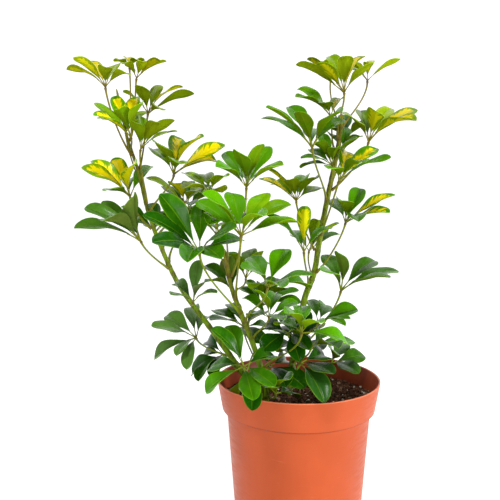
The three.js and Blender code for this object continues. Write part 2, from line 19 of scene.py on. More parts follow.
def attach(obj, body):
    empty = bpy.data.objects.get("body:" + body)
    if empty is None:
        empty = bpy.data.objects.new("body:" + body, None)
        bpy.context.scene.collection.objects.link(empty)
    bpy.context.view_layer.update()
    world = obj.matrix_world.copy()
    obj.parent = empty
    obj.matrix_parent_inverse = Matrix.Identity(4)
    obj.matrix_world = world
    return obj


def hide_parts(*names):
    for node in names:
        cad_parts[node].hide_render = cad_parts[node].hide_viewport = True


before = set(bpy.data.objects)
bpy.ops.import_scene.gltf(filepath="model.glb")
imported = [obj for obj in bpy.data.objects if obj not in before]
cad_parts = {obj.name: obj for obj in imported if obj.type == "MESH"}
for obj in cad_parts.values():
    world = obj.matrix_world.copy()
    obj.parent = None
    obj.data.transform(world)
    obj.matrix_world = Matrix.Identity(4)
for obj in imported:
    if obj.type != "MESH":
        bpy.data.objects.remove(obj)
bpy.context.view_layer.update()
MM = 0.001


def placed(name, data):
    """A new object in the scene."""
    made = bpy.data.objects.new(name, data)
    bpy.context.scene.collection.objects.link(made)
    return made


print("frame:", len(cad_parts), "nodes")

# %% [markdown]
# The camera
#
# A plant photographed at a few steps shows its far leaves almost as large as its near ones, so the
# distance of the camera matters as much as its lens. The camera could be aimed by hand in the
# viewport. Here its place, pitch and lens are given as numbers, found from the rim of the pot: the
# rim is seen as an ellipse, whose height against its width gives the angle from above, and the known
# size of the pot gives the distance.

# %% The camera
CAMERA_AT = (-56, -738, 401)
CAMERA_PITCH = 5.6
LENS_MM = 46.8
SENSOR_MM = 36

camera_data = bpy.data.cameras.new("plant_camera")
camera_data.lens = LENS_MM
camera_data.sensor_width = SENSOR_MM
camera_data.clip_end = 30
camera = placed("plant_camera", camera_data)
camera.location = Vector(CAMERA_AT) * MM
camera.rotation_euler = (math.radians(90 - CAMERA_PITCH), 0, 0)
bpy.context.scene.camera = camera
print("camera", round(camera.location.y, 3), "m in front of the pot's axis")

# %% [markdown]
# Node trees in a few words
#
# A node tree of some fifty nodes is hard to read as a list of nodes and links. The two small classes
# below let a tree be written as sums. A Term is one output of a node, and a sum or product of Terms
# makes the node that works it out. Every argument is either a number or a Term.

# %% Node trees in a few words
class Term:
    """A node's output, to be added, subtracted or multiplied like a number or a vector."""

    def __init__(self, t, socket):
        self.t = t
        self.socket = socket

    def __add__(self, other):
        return self.t.combined("ADD", self, other)

    def __sub__(self, other):
        return self.t.combined("SUBTRACT", self, other)

    def __rsub__(self, other):
        return self.t.math("SUBTRACT", other, self)

    def __mul__(self, other):
        return self.t.combined("MULTIPLY", self, other)

    def __abs__(self):
        return self.t.math("ABSOLUTE", self)


class Tree:
    """Builds a geometry or shader node tree, one call for each node."""

    def __init__(self, tree):
        self.tree = tree

    def set(self, socket, value):
        if isinstance(value, Term):
            self.tree.links.new(value.socket, socket)
        else:
            socket.default_value = value

    def add(self, kind, inputs=None, **settings):
        """The new node itself."""
        made = self.tree.nodes.new(kind)
        for key, value in settings.items():
            setattr(made, key, value)
        for key, value in (inputs or {}).items():
            self.set(made.inputs[key], value)
        return made

    def node(self, kind, inputs=None, output=0, **settings):
        """One output of a new node."""
        return Term(self, self.add(kind, inputs, **settings).outputs[output])

    def parts(self, kind, inputs):
        """All outputs of a new node."""
        return [Term(self, socket) for socket in self.add(kind, inputs).outputs]

    def math(self, operation, *values):
        return self.node("ShaderNodeMath", dict(enumerate(values)), operation=operation)

    def combined(self, operation, a, b):
        """Two numbers or two vectors worked out, or a vector multiplied by a number."""
        if a.socket.type == "VALUE":
            return self.math(operation, a, b)
        if operation == "MULTIPLY":
            return self.node("ShaderNodeVectorMath", {0: a, "Scale": b}, operation="SCALE")
        return self.node("ShaderNodeVectorMath", {0: a, 1: b}, operation=operation)


print("a Term can do:", [name for name in vars(Term) if name not in vars(object)])

# %% [markdown]
# Materials in a few words
#
# A plain colour looks like paint. Each finish here is a base colour that is mixed step by step with
# others, by masks from noise in the object's own space or from numbers stored on the surface. Image
# textures could do it too, but a formula has no seams and stays sharp from near.

# %% Helpers for materials
def shader_tree(name, roughness, **fixed):
    """A material with a bare Principled shader, and the tree that adds nodes to it."""
    material = bpy.data.materials.new(name)
    material.use_nodes = True
    shader = material.node_tree.nodes["Principled BSDF"]
    shader.inputs["Roughness"].default_value = roughness
    for label, value in fixed.items():
        shader.inputs[label.replace("_", " ")].default_value = value
    return material, Tree(material.node_tree), shader


def stored_value(t, name, output="Fac"):
    """The attribute of this name on the surface."""
    return t.node("ShaderNodeAttribute", None, output, attribute_name=name)


def object_place(t):
    return t.node("ShaderNodeTexCoord", None, "Object")


def mixed(t, factor, first, second):
    """Mixes two colours. Either may be a colour or a Term."""
    made = t.add("ShaderNodeMix", {"Factor": factor}, data_type="RGBA")
    for socket, value in ((made.inputs[6], first), (made.inputs[7], second)):
        t.set(socket, (*value, 1) if isinstance(value, tuple) else value)
    return Term(t, made.outputs[2])


def ramp(t, value, low, high, out_low=0.0, out_high=1.0):
    """A soft step from one level to another, while the value goes from low to high."""
    inputs = {"Value": value, "From Min": low, "From Max": high, "To Min": out_low, "To Max": out_high}
    return t.node("ShaderNodeMapRange", inputs, interpolation_type="SMOOTHSTEP")


def noise(t, place, scale, detail=3, roughness=0.55, output=0):
    inputs = {"Vector": place, "Scale": scale, "Detail": detail, "Roughness": roughness}
    return t.node("ShaderNodeTexNoise", inputs, output)


def stretched(t, place, upright):
    """The place with its height scaled, so that a pattern runs along or across the object."""
    return t.node("ShaderNodeMapping", {"Vector": place, "Scale": (1, 1, upright)})


def relief(t, shader, strength, depth, height):
    """A fine relief that only the light shows."""
    bump = t.node("ShaderNodeBump", {"Strength": strength, "Distance": depth, "Height": height})
    t.set(shader.inputs["Normal"], bump)


print("the helpers for materials are made")

# %% [markdown]
# The light and the floor
#
# The plant was photographed against white, in broad soft light from the front and above, with a
# brighter side at the upper left. A white world could do it alone, but then the blades look flat.
# So four disc lamps give the leaves their soft shine and the pot its gentle falloff to one side. The
# world fills the rest, white at the height of the eye and dim above, where the lamps do the work. The
# floor is a wide pale sheet that curves up far behind the plant.

# %% The light and the floor
HORIZON_TOP = 0.25
SKY_FROM = 0.4
SKY_STRENGTH = 0.05
LIGHTS = {
    "key_light": dict(at=(-0.6, -1.3, 2.3), size=0.7, power=40),
    "front_light": dict(at=(0.0, -2.3, 0.75), size=0.8, power=14),
    "side_light": dict(at=(1.7, -0.9, 0.5), size=0.6, power=32),
    "top_light": dict(at=(0.2, 0.9, 2.4), size=1.4, power=10),
}
LIGHT_AIM = Vector((-0.05, 0, 0.33))

world = bpy.data.worlds.new("white_room")
world.use_nodes = True
bpy.context.scene.world = world
bpy.context.scene.view_settings.view_transform = "Standard"


def light_the_world(t):
    """White all round at the height of the eye, and dimmer above, where the lamps do the work."""
    outward = t.node("ShaderNodeTexCoord", None, "Generated")
    height = t.node("ShaderNodeSeparateXYZ", {"Vector": outward}, "Z")
    background = t.tree.nodes["Background"].inputs
    t.set(background["Color"], (1, 1, 1, 1))
    t.set(background["Strength"], ramp(t, height, HORIZON_TOP, SKY_FROM, 1.0, SKY_STRENGTH))


light_the_world(Tree(world.node_tree))

for name, spec in LIGHTS.items():
    lamp = bpy.data.lights.new(name, "AREA")
    lamp.shape = "DISK"
    lamp.size = spec["size"]
    lamp.energy = spec["power"]
    holder = placed(name, lamp)
    holder.location = spec["at"]
    holder.rotation_euler = (LIGHT_AIM - holder.location).to_track_quat("-Z", "Y").to_euler()
print(len(LIGHTS), "lamps of", [spec["power"] for spec in LIGHTS.values()], "watts")

# %% The floor
FLOOR_HALF = 9.0
BACK_START = 4.0
BACK_RADIUS = 2.5
BACK_TOP = 7.0
BACK_STEPS = 16
FLOOR_SHADE = 0.5
FLOOR_GLOW = 0.85


def paper_material():
    """White paper that is lit from behind a little, so that it stays white right to the horizon."""
    material, _, _ = shader_tree(
        "pale_floor", 1, Base_Color=(FLOOR_SHADE, FLOOR_SHADE, FLOOR_SHADE, 1), Specular_IOR_Level=0,
        Emission_Color=(1, 1, 1, 1), Emission_Strength=FLOOR_GLOW,
    )
    return material


def make_floor():
    """A floor that sweeps up into a backdrop far behind the plant."""
    profile = [(-FLOOR_HALF, 0.0), (BACK_START, 0.0)]
    for i in range(1, BACK_STEPS + 1):
        turn = math.pi / 2 * i / BACK_STEPS
        profile.append((BACK_START + BACK_RADIUS * math.sin(turn), BACK_RADIUS * (1 - math.cos(turn))))
    profile.append((BACK_START + BACK_RADIUS, BACK_TOP))
    mesh = bpy.data.meshes.new("floor")
    points = [(x, y, z) for y, z in profile for x in (-FLOOR_HALF, FLOOR_HALF)]
    faces = [(2 * i, 2 * i + 1, 2 * i + 3, 2 * i + 2) for i in range(len(profile) - 1)]
    mesh.from_pydata(points, [], faces)
    mesh.materials.append(paper_material())
    placed("floor", mesh)


make_floor()
print("floor:", 2 * FLOOR_HALF, "m wide")

# %% [markdown]
# The plan of the plant
#
# The table holds what can't be worked out: where each stem runs, and for each leaf where its hub is,
# how long its leaflets are, and where their tips are seen from the front. Everything else follows
# from a rule. All sizes are in millimetres.

# %% Sizes of the pot and the stems
POT_HEIGHT = 180
POT_BASE_RADIUS = 72
BODY_TOP_RADIUS = 83
BAND_FOOT_RADIUS = 88
RIM_RADIUS = 94
BAND_HEIGHT = 34
POT_WALL = 2
POT_FLOOR = 2.5
DRAIN_HOLES = 6
DRAIN_RADIUS = 4
DRAIN_RING_RADIUS = 48
SOIL_TOP = 157
GAP = 0.3

STEMS = {
    "stem_left": dict(
        foot=4.1, top=1.2,
        axis=[
            (-26, 3, 97), (-43, 1, 152), (-78, 0, 204), (-101, 0, 237), (-136, 0, 286), (-157, 0, 331),
            (-172, 0, 374), (-182, 2, 417), (-194, 5, 453), (-199, 6, 476), (-206, 6, 510),
        ],
    ),
    "stem_centre": dict(
        foot=3.9, top=2.3,
        axis=[
            (-33, -18, 97), (-37, -20, 152), (-42, -20, 190), (-55, -20, 231), (-66, -20, 259),
            (-78, -18, 293), (-85, -12, 331),
        ],
    ),
    "stem_right": dict(
        foot=4.5, top=2.4,
        axis=[
            (-8, 12, 97), (-10, 11, 152), (-9, 11, 177), (0, 12, 221), (8, 14, 270), (19, 15, 301),
            (24, 16, 333), (33, 18, 383), (38, 18, 408), (46, 18, 451), (49, 18, 484),
        ],
    ),
}
print("pot", POT_HEIGHT, "mm high, with", len(STEMS), "stems")

# %% The leaves
# foot is the height of a leaf's foot on its stem, hub is where its leaflets meet, length is theirs, and
# roll is how strongly the blades turn their faces to the front. tone runs from 0, dark and glossy, to
# 1, pale yellow-green. shade darkens the leaf, partly for its own darker green and partly as painted
# shade where it lies deep in the plant. width widens its leaflets, and grey dulls an old one.
# near and far are the places of the leaflets' tips, right of and above the hub as seen from the
# front, for those that point to the near side and to the far side. yellow lists the leaflets that are
# mostly yellow, counted through near and then far.
Leaf = namedtuple("Leaf", "foot hub length roll tone shade width grey near far yellow", defaults=[()])
PLAN = {
    "left_01": (436, (-216, -5, 510), 54, -0.35, 0.93, 0.8, 0.8, 0,
        [(-33, 32), (1, 21), (29, 14)], [(-45, 20), (-15, 29), (16, 25)], (0, 3, 4)),
    "left_02": (452, (-187, 28, 525), 43, -0.35, 0.95, 0.85, 0.75, 0,
        [(7, 18), (27, 21), (-16, 16)], [(12, 18), (34, 18), (-13, 14)], (1,)),
    "left_03": (466, (-195, 29, 537), 34, -0.3, 0.95, 0.8, 0.75, 0,
        [(-13, 9), (8, 9)], [(-18, 7), (-4, 11), (18, 8)], (3,)),
    "left_04": (420, (-176, 39, 486), 60, -0.4, 0.85, 0.7, 0.75, 0,
        [(55, 23), (16, 4), (-10, 31)], [(15, 34), (41, 30), (-28, 24)], (4,)),
    "left_05": (440, (-184, -30, 453), 55, 0.5, 0.6, 0.9, 0.85, 0,
        [(-13, 31), (13, 36), (-41, 24)], [(-39, 37), (-18, 44), (6, 42)], (2, 4, 5)),
    "left_06": (382, (-175, -23, 441), 50, -0.4, 0.75, 0.8, 0.8, 0,
        [(17, 30), (37, 31), (-6, 28)], [(0, 36), (40, 19)]),
    "left_07": (354, (-191, -4, 389), 63, 0.8, 0.62, 0.9, 0.85, 0,
        [(-28, 7), (-55, 33), (8, 36)], [(0, 20), (24, 34), (-43, 40), (-16, 45)], (1, 2, 5, 6)),
    "left_08": (309, (-177, -19, 340), 76, 0.6, 0.45, 0.72, 0.85, 0.25,
        [(-42, 22), (-72, 14), (-7, 50)], [(-61, 37), (-11, 25), (-42, 45)]),
    "left_09": (328, (-149, 69, 340), 58, 0.4, 0.3, 0.8, 1, 0,
        [(-15, 42), (30, 16)], [(18, 36), (-30, 28)]),
    "left_10": (372, (-140, -16, 414), 67, 0.7, 0.62, 0.75, 0.9, 0,
        [(-23, 37), (8, 11), (35, 43)], [(-24, 28), (5, 41), (55, 31), (49, 16)], (2, 4, 5, 6)),
    "left_11": (345, (-131, 10, 381), 54, 0.3, 0.75, 0.7, 1, 0,
        [(-13, 23), (20, 13)], [(-7, 20), (25, 18), (-43, 29)], (0,)),
    "left_12": (292, (-116, -60, 279), 48, 0.3, 0.35, 0.72, 0.9, 0.5,
        [(-24, 8), (13, 22), (26, 10)], [(6, 45), (-20, 20)]),
    "left_13": (207, (-119, 10, 224), 62, 0.6, 0.3, 0.72, 1.0, 0.5,
        [(-53, 14), (-24, -22), (-11, -37)], [(-35, 28), (-2, 36), (17, 25), (-49, -26)]),
    "left_14": (180, (-87, 17, 202), 54, 0.5, 0.08, 0.75, 1.25, 0,
        [(-30, -32), (-12, -29)], [(-24, 1), (-20, 17), (-36, -23)]),
    "left_15": (302, (-172, 62, 345), 53, 0.3, 0.25, 0.8, 1, 0,
        [(-8, 6), (30, 14)], [(-42, 30), (-4, 34), (34, 28), (-38, 18)]),
    "left_16": (314, (-134, 86, 373), 54, 0.3, 0.3, 0.7, 1, 0,
        [(-30, 12), (4, 4), (36, 18)], [(-34, 28), (0, 34), (30, 30)]),
    "left_17": (394, (-209, 73, 467), 48, 0.2, 0.7, 0.8, 1, 0,
        [(-28, 16), (26, 12)], [(-36, 18), (-6, 26), (26, 24)], (3,)),
    "centre_01": (300, (-60, -12, 400), 58, 0.5, 0.55, 0.95, 1, 0,
        [(-11, 40), (17, 45), (41, 24), (-35, 23)], [(-25, 39), (26, 44), (5, 15)]),
    "centre_02": (276, (-65, -94, 352), 61, 0.6, 0.58, 1, 1, 0,
        [(24, 20), (-40, 43)], [(-33, 22), (-9, 41), (27, 43), (54, 33), (-44, 34), (56, 13)]),
    "centre_03": (312, (-100, -16, 395), 54, 0.4, 0.75, 0.85, 1, 0,
        [(-31, 3), (17, 16)], [(-29, 20), (-6, 19), (13, -1)]),
    "centre_04": (318, (-83, -24, 367), 54, 0.3, 0.6, 1, 1, 0,
        [(22, -5), (-18, -8)], [(-20, 18), (22, 20)]),
    "centre_05": (250, (-38, -84, 299), 56, 0.6, 0.38, 0.95, 1.1, 0,
        [(45, 12), (-28, 20), (14, -1)], [(-17, 30), (17, 37), (40, -1), (-13, -1)]),
    "centre_06": (231, (-35, -31, 257), 47, 0.6, 0.38, 0.95, 1.05, 0,
        [(-18, 32), (14, -3)], [(-29, 22), (8, 27), (30, 18), (35, 1), (-21, 0)]),
    "centre_07": (195, (-3, -82, 251), 56, 0.7, 0.42, 1.05, 1, 0,
        [(-18, 21), (19, 10)], [(-1, 28), (46, -10), (-23, 8)]),
    "centre_08": (260, (-108, -73, 333), 70, 0.7, 0.14, 1.0, 0.9, 0,
        [(-57, 38), (-12, -10), (37, 25), (-47, 10), (23, -7)], [(-39, 58), (3, 48), (44, 13)]),
    "centre_09": (213, (-62, -97, 220), 52, 0.7, 0.24, 0.98, 1.1, 0,
        [(32, -21), (9, -34), (-33, 38)], [(-40, -28), (-34, -2), (-15, 42), (31, 11)]),
    "centre_10": (180, (-56, -66, 202), 53, 0.9, 0.02, 0.7, 1.15, 0,
        [(2, -41)], [(21, -18), (-14, -33)]),
    "centre_11": (245, (-77, 54, 272), 54, 0.3, 0.35, 0.7, 1, 0.15,
        [(-36, 12), (-6, 42)], [(-34, 32), (5, 44)]),
    "centre_12": (279, (-61, 36, 291), 54, 0.3, 0.6, 0.6, 1, 0,
        [(-21, 30), (17, 31)], [(6, 34), (29, 19), (-25, 31)]),
    "centre_13": (163, (-34, -4, 194), 54, 1.0, 0.02, 0.7, 1.25, 0,
        [(42, -26), (19, -24)], [(-13, 13), (21, 4)]),
    "centre_14": (163, (-29, -68, 182), 51, 0.4, 0.02, 0.7, 1.2, 0,
        [(15, 15), (-34, 13), (-12, 7)], [(21, -3)]),
    "centre_15": (302, (-97, 40, 344), 54, 0.3, 0.5, 1, 1, 0,
        [(-34, 16), (2, 8), (32, 12)], [(-32, 30), (4, 36), (36, 24)]),
    "centre_16": (241, (-41, 60, 253), 50, 0.4, 0.4, 0.7, 1.15, 0,
        [(0, 27), (30, 22)], [(-30, 21), (-19, 31), (17, 34), (45, 19), (52, 4)]),
    "centre_17": (188, (-64, 36, 232), 56, 0.4, 0.3, 0.65, 1.2, 0,
        [(-38, 7), (-16, -22), (22, -22)], [(-35, 19), (-18, 29), (25, 16), (37, -6)]),
    "right_01": (455, (51, 15, 507), 62, -0.3, 0.85, 0.8, 0.8, 0,
        [(3, 40), (-30, 34), (34, 34)], [(-43, 37), (-17, 40), (23, 40), (-61, 34)], (1, 3, 5)),
    "right_02": (468, (85, 59, 527), 46, -0.3, 0.92, 0.8, 0.7, 0,
        [(2, 21)], [(45, 29), (6, 24), (-35, 24), (-24, 14)], (0, 2)),
    "right_03": (462, (48, 115, 541), 50, -0.3, 0.9, 0.7, 0.8, 0,
        [(-11, 19), (30, 20)], [(10, 19), (40, 12), (-24, 6)], (4,)),
    "right_04": (442, (37, 23, 481), 56, 0.3, 0.65, 0.72, 0.85, 0,
        [(-43, 23), (-7, 16)], [(-38, 30), (12, 19)], (3,)),
    "right_05": (397, (78, 5, 451), 70, 0.5, 0.8, 0.85, 0.82, 0,
        [(-30, 32), (8, 36), (53, 23)], [(-10, 35), (24, 38), (54, 36)], (1, 2, 5)),
    "right_06": (385, (9, -51, 441), 67, 0.4, 0.5, 0.65, 0.8, 0,
        [(-48, 41), (-14, 38), (31, 37)], [(-55, 31), (-26, 44), (34, 30), (-2, 20)]),
    "right_07": (402, (36, -5, 424), 47, 0.4, 0.55, 0.65, 0.85, 0,
        [(-36, 8), (-19, 25), (5, 20), (27, 30)], [(-35, -3), (-26, 18), (-12, 35)]),
    "right_08": (345, (40, -30, 406), 65, 0.4, 0.55, 0.8, 0.85, 0,
        [(57, 26), (28, 20), (-12, 14)], [(9, 32), (40, 35)], (3, 4)),
    "right_09": (302, (52, -4, 360), 62, 0.5, 0.5, 0.75, 0.9, 0,
        [(-8, 25), (50, 11), (15, 1)], [(16, 39), (-17, 25), (56, 31)], (1, 5)),
    "right_10": (326, (-2, 25, 384), 53, 0.4, 0.7, 0.6, 1, 0,
        [(-34, 36), (25, 26), (-8, 25)], [(-45, 26), (-28, 20), (11, 29), (30, 14)], (0, 3)),
    "right_11": (284, (1, -54, 332), 56, 0.4, 0.45, 0.75, 0.75, 0,
        [(1, 47), (-42, 40)], [(-12, 23), (28, 24)], (0,)),
    "right_12": (292, (18, 72, 320), 52, 0.4, 0.6, 0.65, 1, 0,
        [(11, 38)], [(40, 37), (19, 28), (-22, 20), (39, 22)]),
    "right_13": (212, (48, -3, 282), 72, 0.4, 0.35, 0.78, 0.85, 0.15,
        [(-24, 24), (-4, 43), (56, 15)], [(-20, 43), (38, 34), (64, 22)]),
    "right_14": (178, (38, 1, 196), 54, 0.9, 0.15, 0.85, 1.1, 0.1,
        [(-3, 20), (34, -13)], [(13, 23), (39, 10)]),
    "right_15": (196, (10, -58, 231), 54, 0.6, 0.2, 0.8, 1.1, 0,
        [(29, -3)], [(45, 5), (15, 16), (-18, 11)]),
    "right_16": (190, (-3, -60, 213), 58, 1.0, 0.02, 0.75, 1.1, 0.1,
        [(26, -42), (37, -12)], [(27, 8), (-20, 12)]),
    "right_17": (410, (52, 30, 440), 45, 0.3, 0.35, 0.6, 1, 0,
        [(22, 19)], [(-15, 21), (3, 28)]),
    "right_18": (225, (22, -7, 246), 50, 0.7, 0.4, 0.85, 1.15, 0,
        [(38, 4), (31, -4)], [(-13, 25), (8, 21), (45, 15)]),
    "right_19": (426, (62, 74, 459), 50, 0.2, 0.2, 0.7, 1, 0,
        [(-32, 14), (30, 16)], [(-34, 22), (-2, 28), (32, 20)]),
    "right_20": (205, (4, 61, 204), 56, 0.5, 0.02, 0.65, 1.4, 0,
        [(-35, -9), (33, -7)], [(-33, 19), (-15, 36), (8, 41), (29, 25)]),
    "right_21": (218, (-14, -34, 240), 46, 0.8, 0.0, 0.65, 1.5, 0,
        [(-30, -21), (13, -32), (23, -19)], [(-26, 4), (16, 13)]),
}
LEAVES = {"leaf_" + place: Leaf(*row) for place, row in PLAN.items()}
print(len(LEAVES), "leaves")

# %% [markdown]
# Growing along a stem
#
# A stem bends smoothly from one leaf's foot to the next. Its axis could be a curve object, but the
# leaves have to find their feet on it, so it is a small function of the height instead: a smooth
# blend through the points of the table, with the direction there.

# %% Growing along a stem
def along(axis, height):
    """The point of a stem's axis at a height, and its direction."""
    last = len(axis) - 1
    k = 0
    while k < last - 1 and axis[k + 1][2] < height:
        k += 1

    def slope(i, c):
        a, b = axis[max(i - 1, 0)], axis[min(i + 1, last)]
        return (b[c] - a[c]) / (b[2] - a[2])

    span = axis[k + 1][2] - axis[k][2]
    t = (height - axis[k][2]) / span

    def blend(c):
        near = (2 * t**3 - 3 * t**2 + 1) * axis[k][c] + (t**3 - 2 * t**2 + t) * span * slope(k, c)
        far = (3 * t**2 - 2 * t**3) * axis[k + 1][c] + (t**3 - t**2) * span * slope(k + 1, c)
        return near + far

    def lean(c):
        return slope(k, c) * (1 - t) + slope(k + 1, c) * t

    return Vector((blend(0), blend(1), height)), Vector((lean(0), lean(1), 1)).normalized()


def stem_of(leaf_name):
    """The name of the stem that a leaf grows on."""
    return "stem_" + leaf_name.split("_")[1]


def stem_radius(stem, height):
    low, high = stem["axis"][0][2], stem["axis"][-1][2]
    return stem["foot"] + (stem["top"] - stem["foot"]) * (height - low) / (high - low)


for name, stem in STEMS.items():
    print(name, "leaves the soil at", [round(c) for c in along(stem["axis"], SOIL_TOP)[0]])

# %% [markdown]
# The fan of a leaf
#
# The leaflets of an umbrella plant spread from one point like the ribs of an umbrella. A photograph
# gives only where a tip is seen. Its depth follows from the leaflet's length: the tip is where the
# line of sight meets a sphere of that radius round the hub, on the near side or the far side.

# %% The fan of a leaf
SEEN_FROM = Vector(CAMERA_AT)
LEAFLET_WIDTH_SHARE = 0.35
NEIGHBOUR_SHARE = 1.15
WIDEST_AT = 0.68
DROOP = 40


def tip_direction(hub, tip, length, side):
    """The way to a tip that is seen at this place, for a near leaflet with side -1, a far one with 1."""
    sight = (hub + Vector((tip[0], 0, tip[1])) - SEEN_FROM).normalized()
    away = hub - SEEN_FROM
    nearest = away.dot(sight)
    spare = max(nearest**2 - away.length_squared + length**2, 0)
    return (SEEN_FROM + sight * (nearest + side * math.sqrt(spare)) - hub).normalized()


def fan_of(leaf):
    """A leaf's hub, the directions of its leaflets, and the hub's axis, which leans with the fan."""
    hub = Vector(leaf.hub)
    rays = [tip_direction(hub, tip, leaf.length, -1) for tip in leaf.near]
    rays += [tip_direction(hub, tip, leaf.length, 1) for tip in leaf.far]
    normal = (Vector((0, 0, 1)) + sum(rays, Vector()) / len(rays)).normalized()
    return hub, rays, normal


def half_width(rays, ray, length):
    """Half a leaflet's width: neighbours in the fan may overlap a little, as they do on the plant."""
    nearest = min(ray.angle(other) for other in rays if other is not ray)
    room = WIDEST_AT * length * math.tan(nearest / 2) * NEIGHBOUR_SHARE
    return min(LEAFLET_WIDTH_SHARE * length / 2, room)


def blade_axes(ray, normal, roll):
    """The blade's face and side directions, with the face turned towards the front by roll."""
    side = normal.cross(ray).normalized()
    front = Vector((0, -1, 0)) + ray * ray.y
    face = (ray.cross(side) + front * roll).normalized()
    return face, face.cross(ray)


def arc(length, share, droop):
    """How far along and above its chord an arched leaflet is."""
    bend = math.radians(droop)
    pitch = bend / 2 - bend * share
    reach = (math.sin(bend / 2) - math.sin(pitch)) / bend * length
    climb = (math.cos(pitch) - math.cos(bend / 2)) / bend * length
    return reach, climb


print(sum(len(leaf.near) + len(leaf.far) for leaf in LEAVES.values()), "leaflets")

# %% [markdown]
# Geometry trees
#
# What repeats on the plant is grown by Geometry Nodes: a tree gets a small mesh, whose points carry
# numbers, and makes leaves, bark or soil of it. The modifier could stay live, but every finished piece
# has to be a plain mesh, so a tree is run once and only its result is kept.

# %% Helpers for geometry trees
def named(t, name, kind="FLOAT"):
    """The attribute of this name."""
    return t.node("GeometryNodeInputNamedAttribute", {"Name": name}, "Attribute", data_type=kind)


def stored(t, geometry, name, value, kind="FLOAT"):
    """The geometry with an attribute of this name."""
    inputs = {"Geometry": geometry, "Name": name, "Value": value}
    return t.node("GeometryNodeStoreNamedAttribute", inputs, data_type=kind, domain="POINT")


def curved(t, value, stops):
    """A smooth curve through (place, value) stops."""
    made = t.add("ShaderNodeFloatCurve", {"Value": value})
    points = made.mapping.curves[0].points
    while len(points) < len(stops):
        points.new(0.5, 0.5)
    for point, stop in zip(points, stops):
        point.location = stop
        point.handle_type = "AUTO"
    made.mapping.update()
    return Term(t, made.outputs[0])


def position(t):
    return t.node("GeometryNodeInputPosition")


def realized(t, geometry):
    return t.node("GeometryNodeRealizeInstances", {"Geometry": geometry})


def smooth(t, geometry, where=True):
    return t.node("GeometryNodeSetShadeSmooth", {"Geometry": geometry, "Shade Smooth": where})


def painted(t, geometry, material):
    return t.node("GeometryNodeSetMaterial", {"Geometry": geometry, "Material": material})


def joined(t, *parts):
    made = t.add("GeometryNodeJoinGeometry")
    for part in parts:
        t.set(made.inputs[0], part)
    return Term(t, made.outputs[0])


def geometry_tree(name, inputs):
    """An empty geometry tree, with Terms for the mesh that comes in and for named number inputs."""
    tree = bpy.data.node_groups.new(name, "GeometryNodeTree")
    tree.interface.new_socket("Mesh", in_out="INPUT", socket_type="NodeSocketGeometry")
    for label, value in inputs.items():
        kind = "NodeSocketInt" if isinstance(value, int) else "NodeSocketFloat"
        tree.interface.new_socket(label, in_out="INPUT", socket_type=kind).default_value = value
    tree.interface.new_socket("Mesh", in_out="OUTPUT", socket_type="NodeSocketGeometry")
    t = Tree(tree)
    given = {out.name: Term(t, out) for out in tree.nodes.new("NodeGroupInput").outputs if out.name}
    return t, given


def finished(t, geometry):
    """The tree, with its last geometry linked to its output."""
    t.set(t.tree.nodes.new("NodeGroupOutput").inputs[0], geometry)
    return t.tree


def grown(name, mesh, tree):
    """Runs a geometry tree on a mesh and returns a new object that holds the plain result."""
    seed = placed(name + "_seed", mesh)
    seed.modifiers.new("grow", "NODES").node_group = tree
    depsgraph = bpy.context.evaluated_depsgraph_get()
    result = bpy.data.meshes.new_from_object(seed.evaluated_get(depsgraph))
    result.name = name
    bpy.data.objects.remove(seed)
    return placed(name, result)


def attribute(mesh, name, values, kind="FLOAT"):
    """Stores a value for each point of a mesh."""
    layer = mesh.attributes.new(name, kind, "POINT")
    key = "vector" if kind == "FLOAT_VECTOR" else "value"
    for item, value in zip(layer.data, values):
        setattr(item, key, value)


print("the helpers for geometry trees are made")

# %% [markdown]
# The pattern of a leaflet
#
# A leaflet is waxy above and dull below. Its green isn't even: the midrib and the side veins are
# paler, the tissue between them is mottled, and on a variegated plant the cells of some leaves hold
# no green at all, so that yellow patches spread from the midrib, with green left along the margin.
# The pattern has to follow the blade, so it reads the blade's own coordinates, which the node tree
# stores on every point: how far along it is, how far to the side, and a number for each leaflet.

# %% The pattern of a leaflet
DARK_GREEN = (0.008, 0.070, 0.001)
FRESH_GREEN = (0.072, 0.255, 0.001)
PALE_GREEN = (0.290, 0.380, 0.002)
VEIN_SLANT = 0.16
VEIN_TURNS = 34
CREAM_SLANT = 0.22
CREAM_STEPS = 4.5
CREAM_RAGGED = 2.6
CREAM_MARGIN = 0.86


def blade_places(t):
    """The blade's coordinates: share along, side from -1 to 1, distance from the midrib, number."""
    share, side, number = t.parts("ShaderNodeSeparateXYZ", {"Vector": stored_value(t, "blade", "Vector")})
    return share, side, abs(side), number


def vein_mask(t, share, off_midrib):
    """Bright on the midrib and on side veins that leave it at a slant and fade towards the margin."""
    midrib = ramp(t, off_midrib, 0.02, 0.07, 1, 0)
    wave = abs(t.math("SINE", (share - off_midrib * VEIN_SLANT) * VEIN_TURNS))
    side_veins = ramp(t, wave, 0.0, 0.16, 1, 0) * ramp(t, off_midrib, 0.5, 0.95, 0.4, 0)
    return t.math("MAXIMUM", midrib, side_veins)


def cream_depth(t, share, side, off_midrib, number, cream):
    """How deep a place is inside the yellow, whose ragged border steps along the side veins."""
    steps = (share - off_midrib * CREAM_SLANT) * CREAM_STEPS
    place = t.node("ShaderNodeCombineXYZ", {"X": steps, "Y": t.math("SIGN", side), "Z": number})
    ragged = noise(t, place, 1.6, detail=4, roughness=0.75)
    border = (cream * 1.3 - 0.35) + (ragged - 0.5) * CREAM_RAGGED
    border = t.math("MINIMUM", border, CREAM_MARGIN)
    return (border - off_midrib) - ramp(t, share, 0.86, 0.97) * 2


def cream_mask(t, depth, cream, low, high):
    """Bright inside the yellow, on the leaflets that have any."""
    return ramp(t, depth, low, high) * ramp(t, cream, 0.02, 0.05)


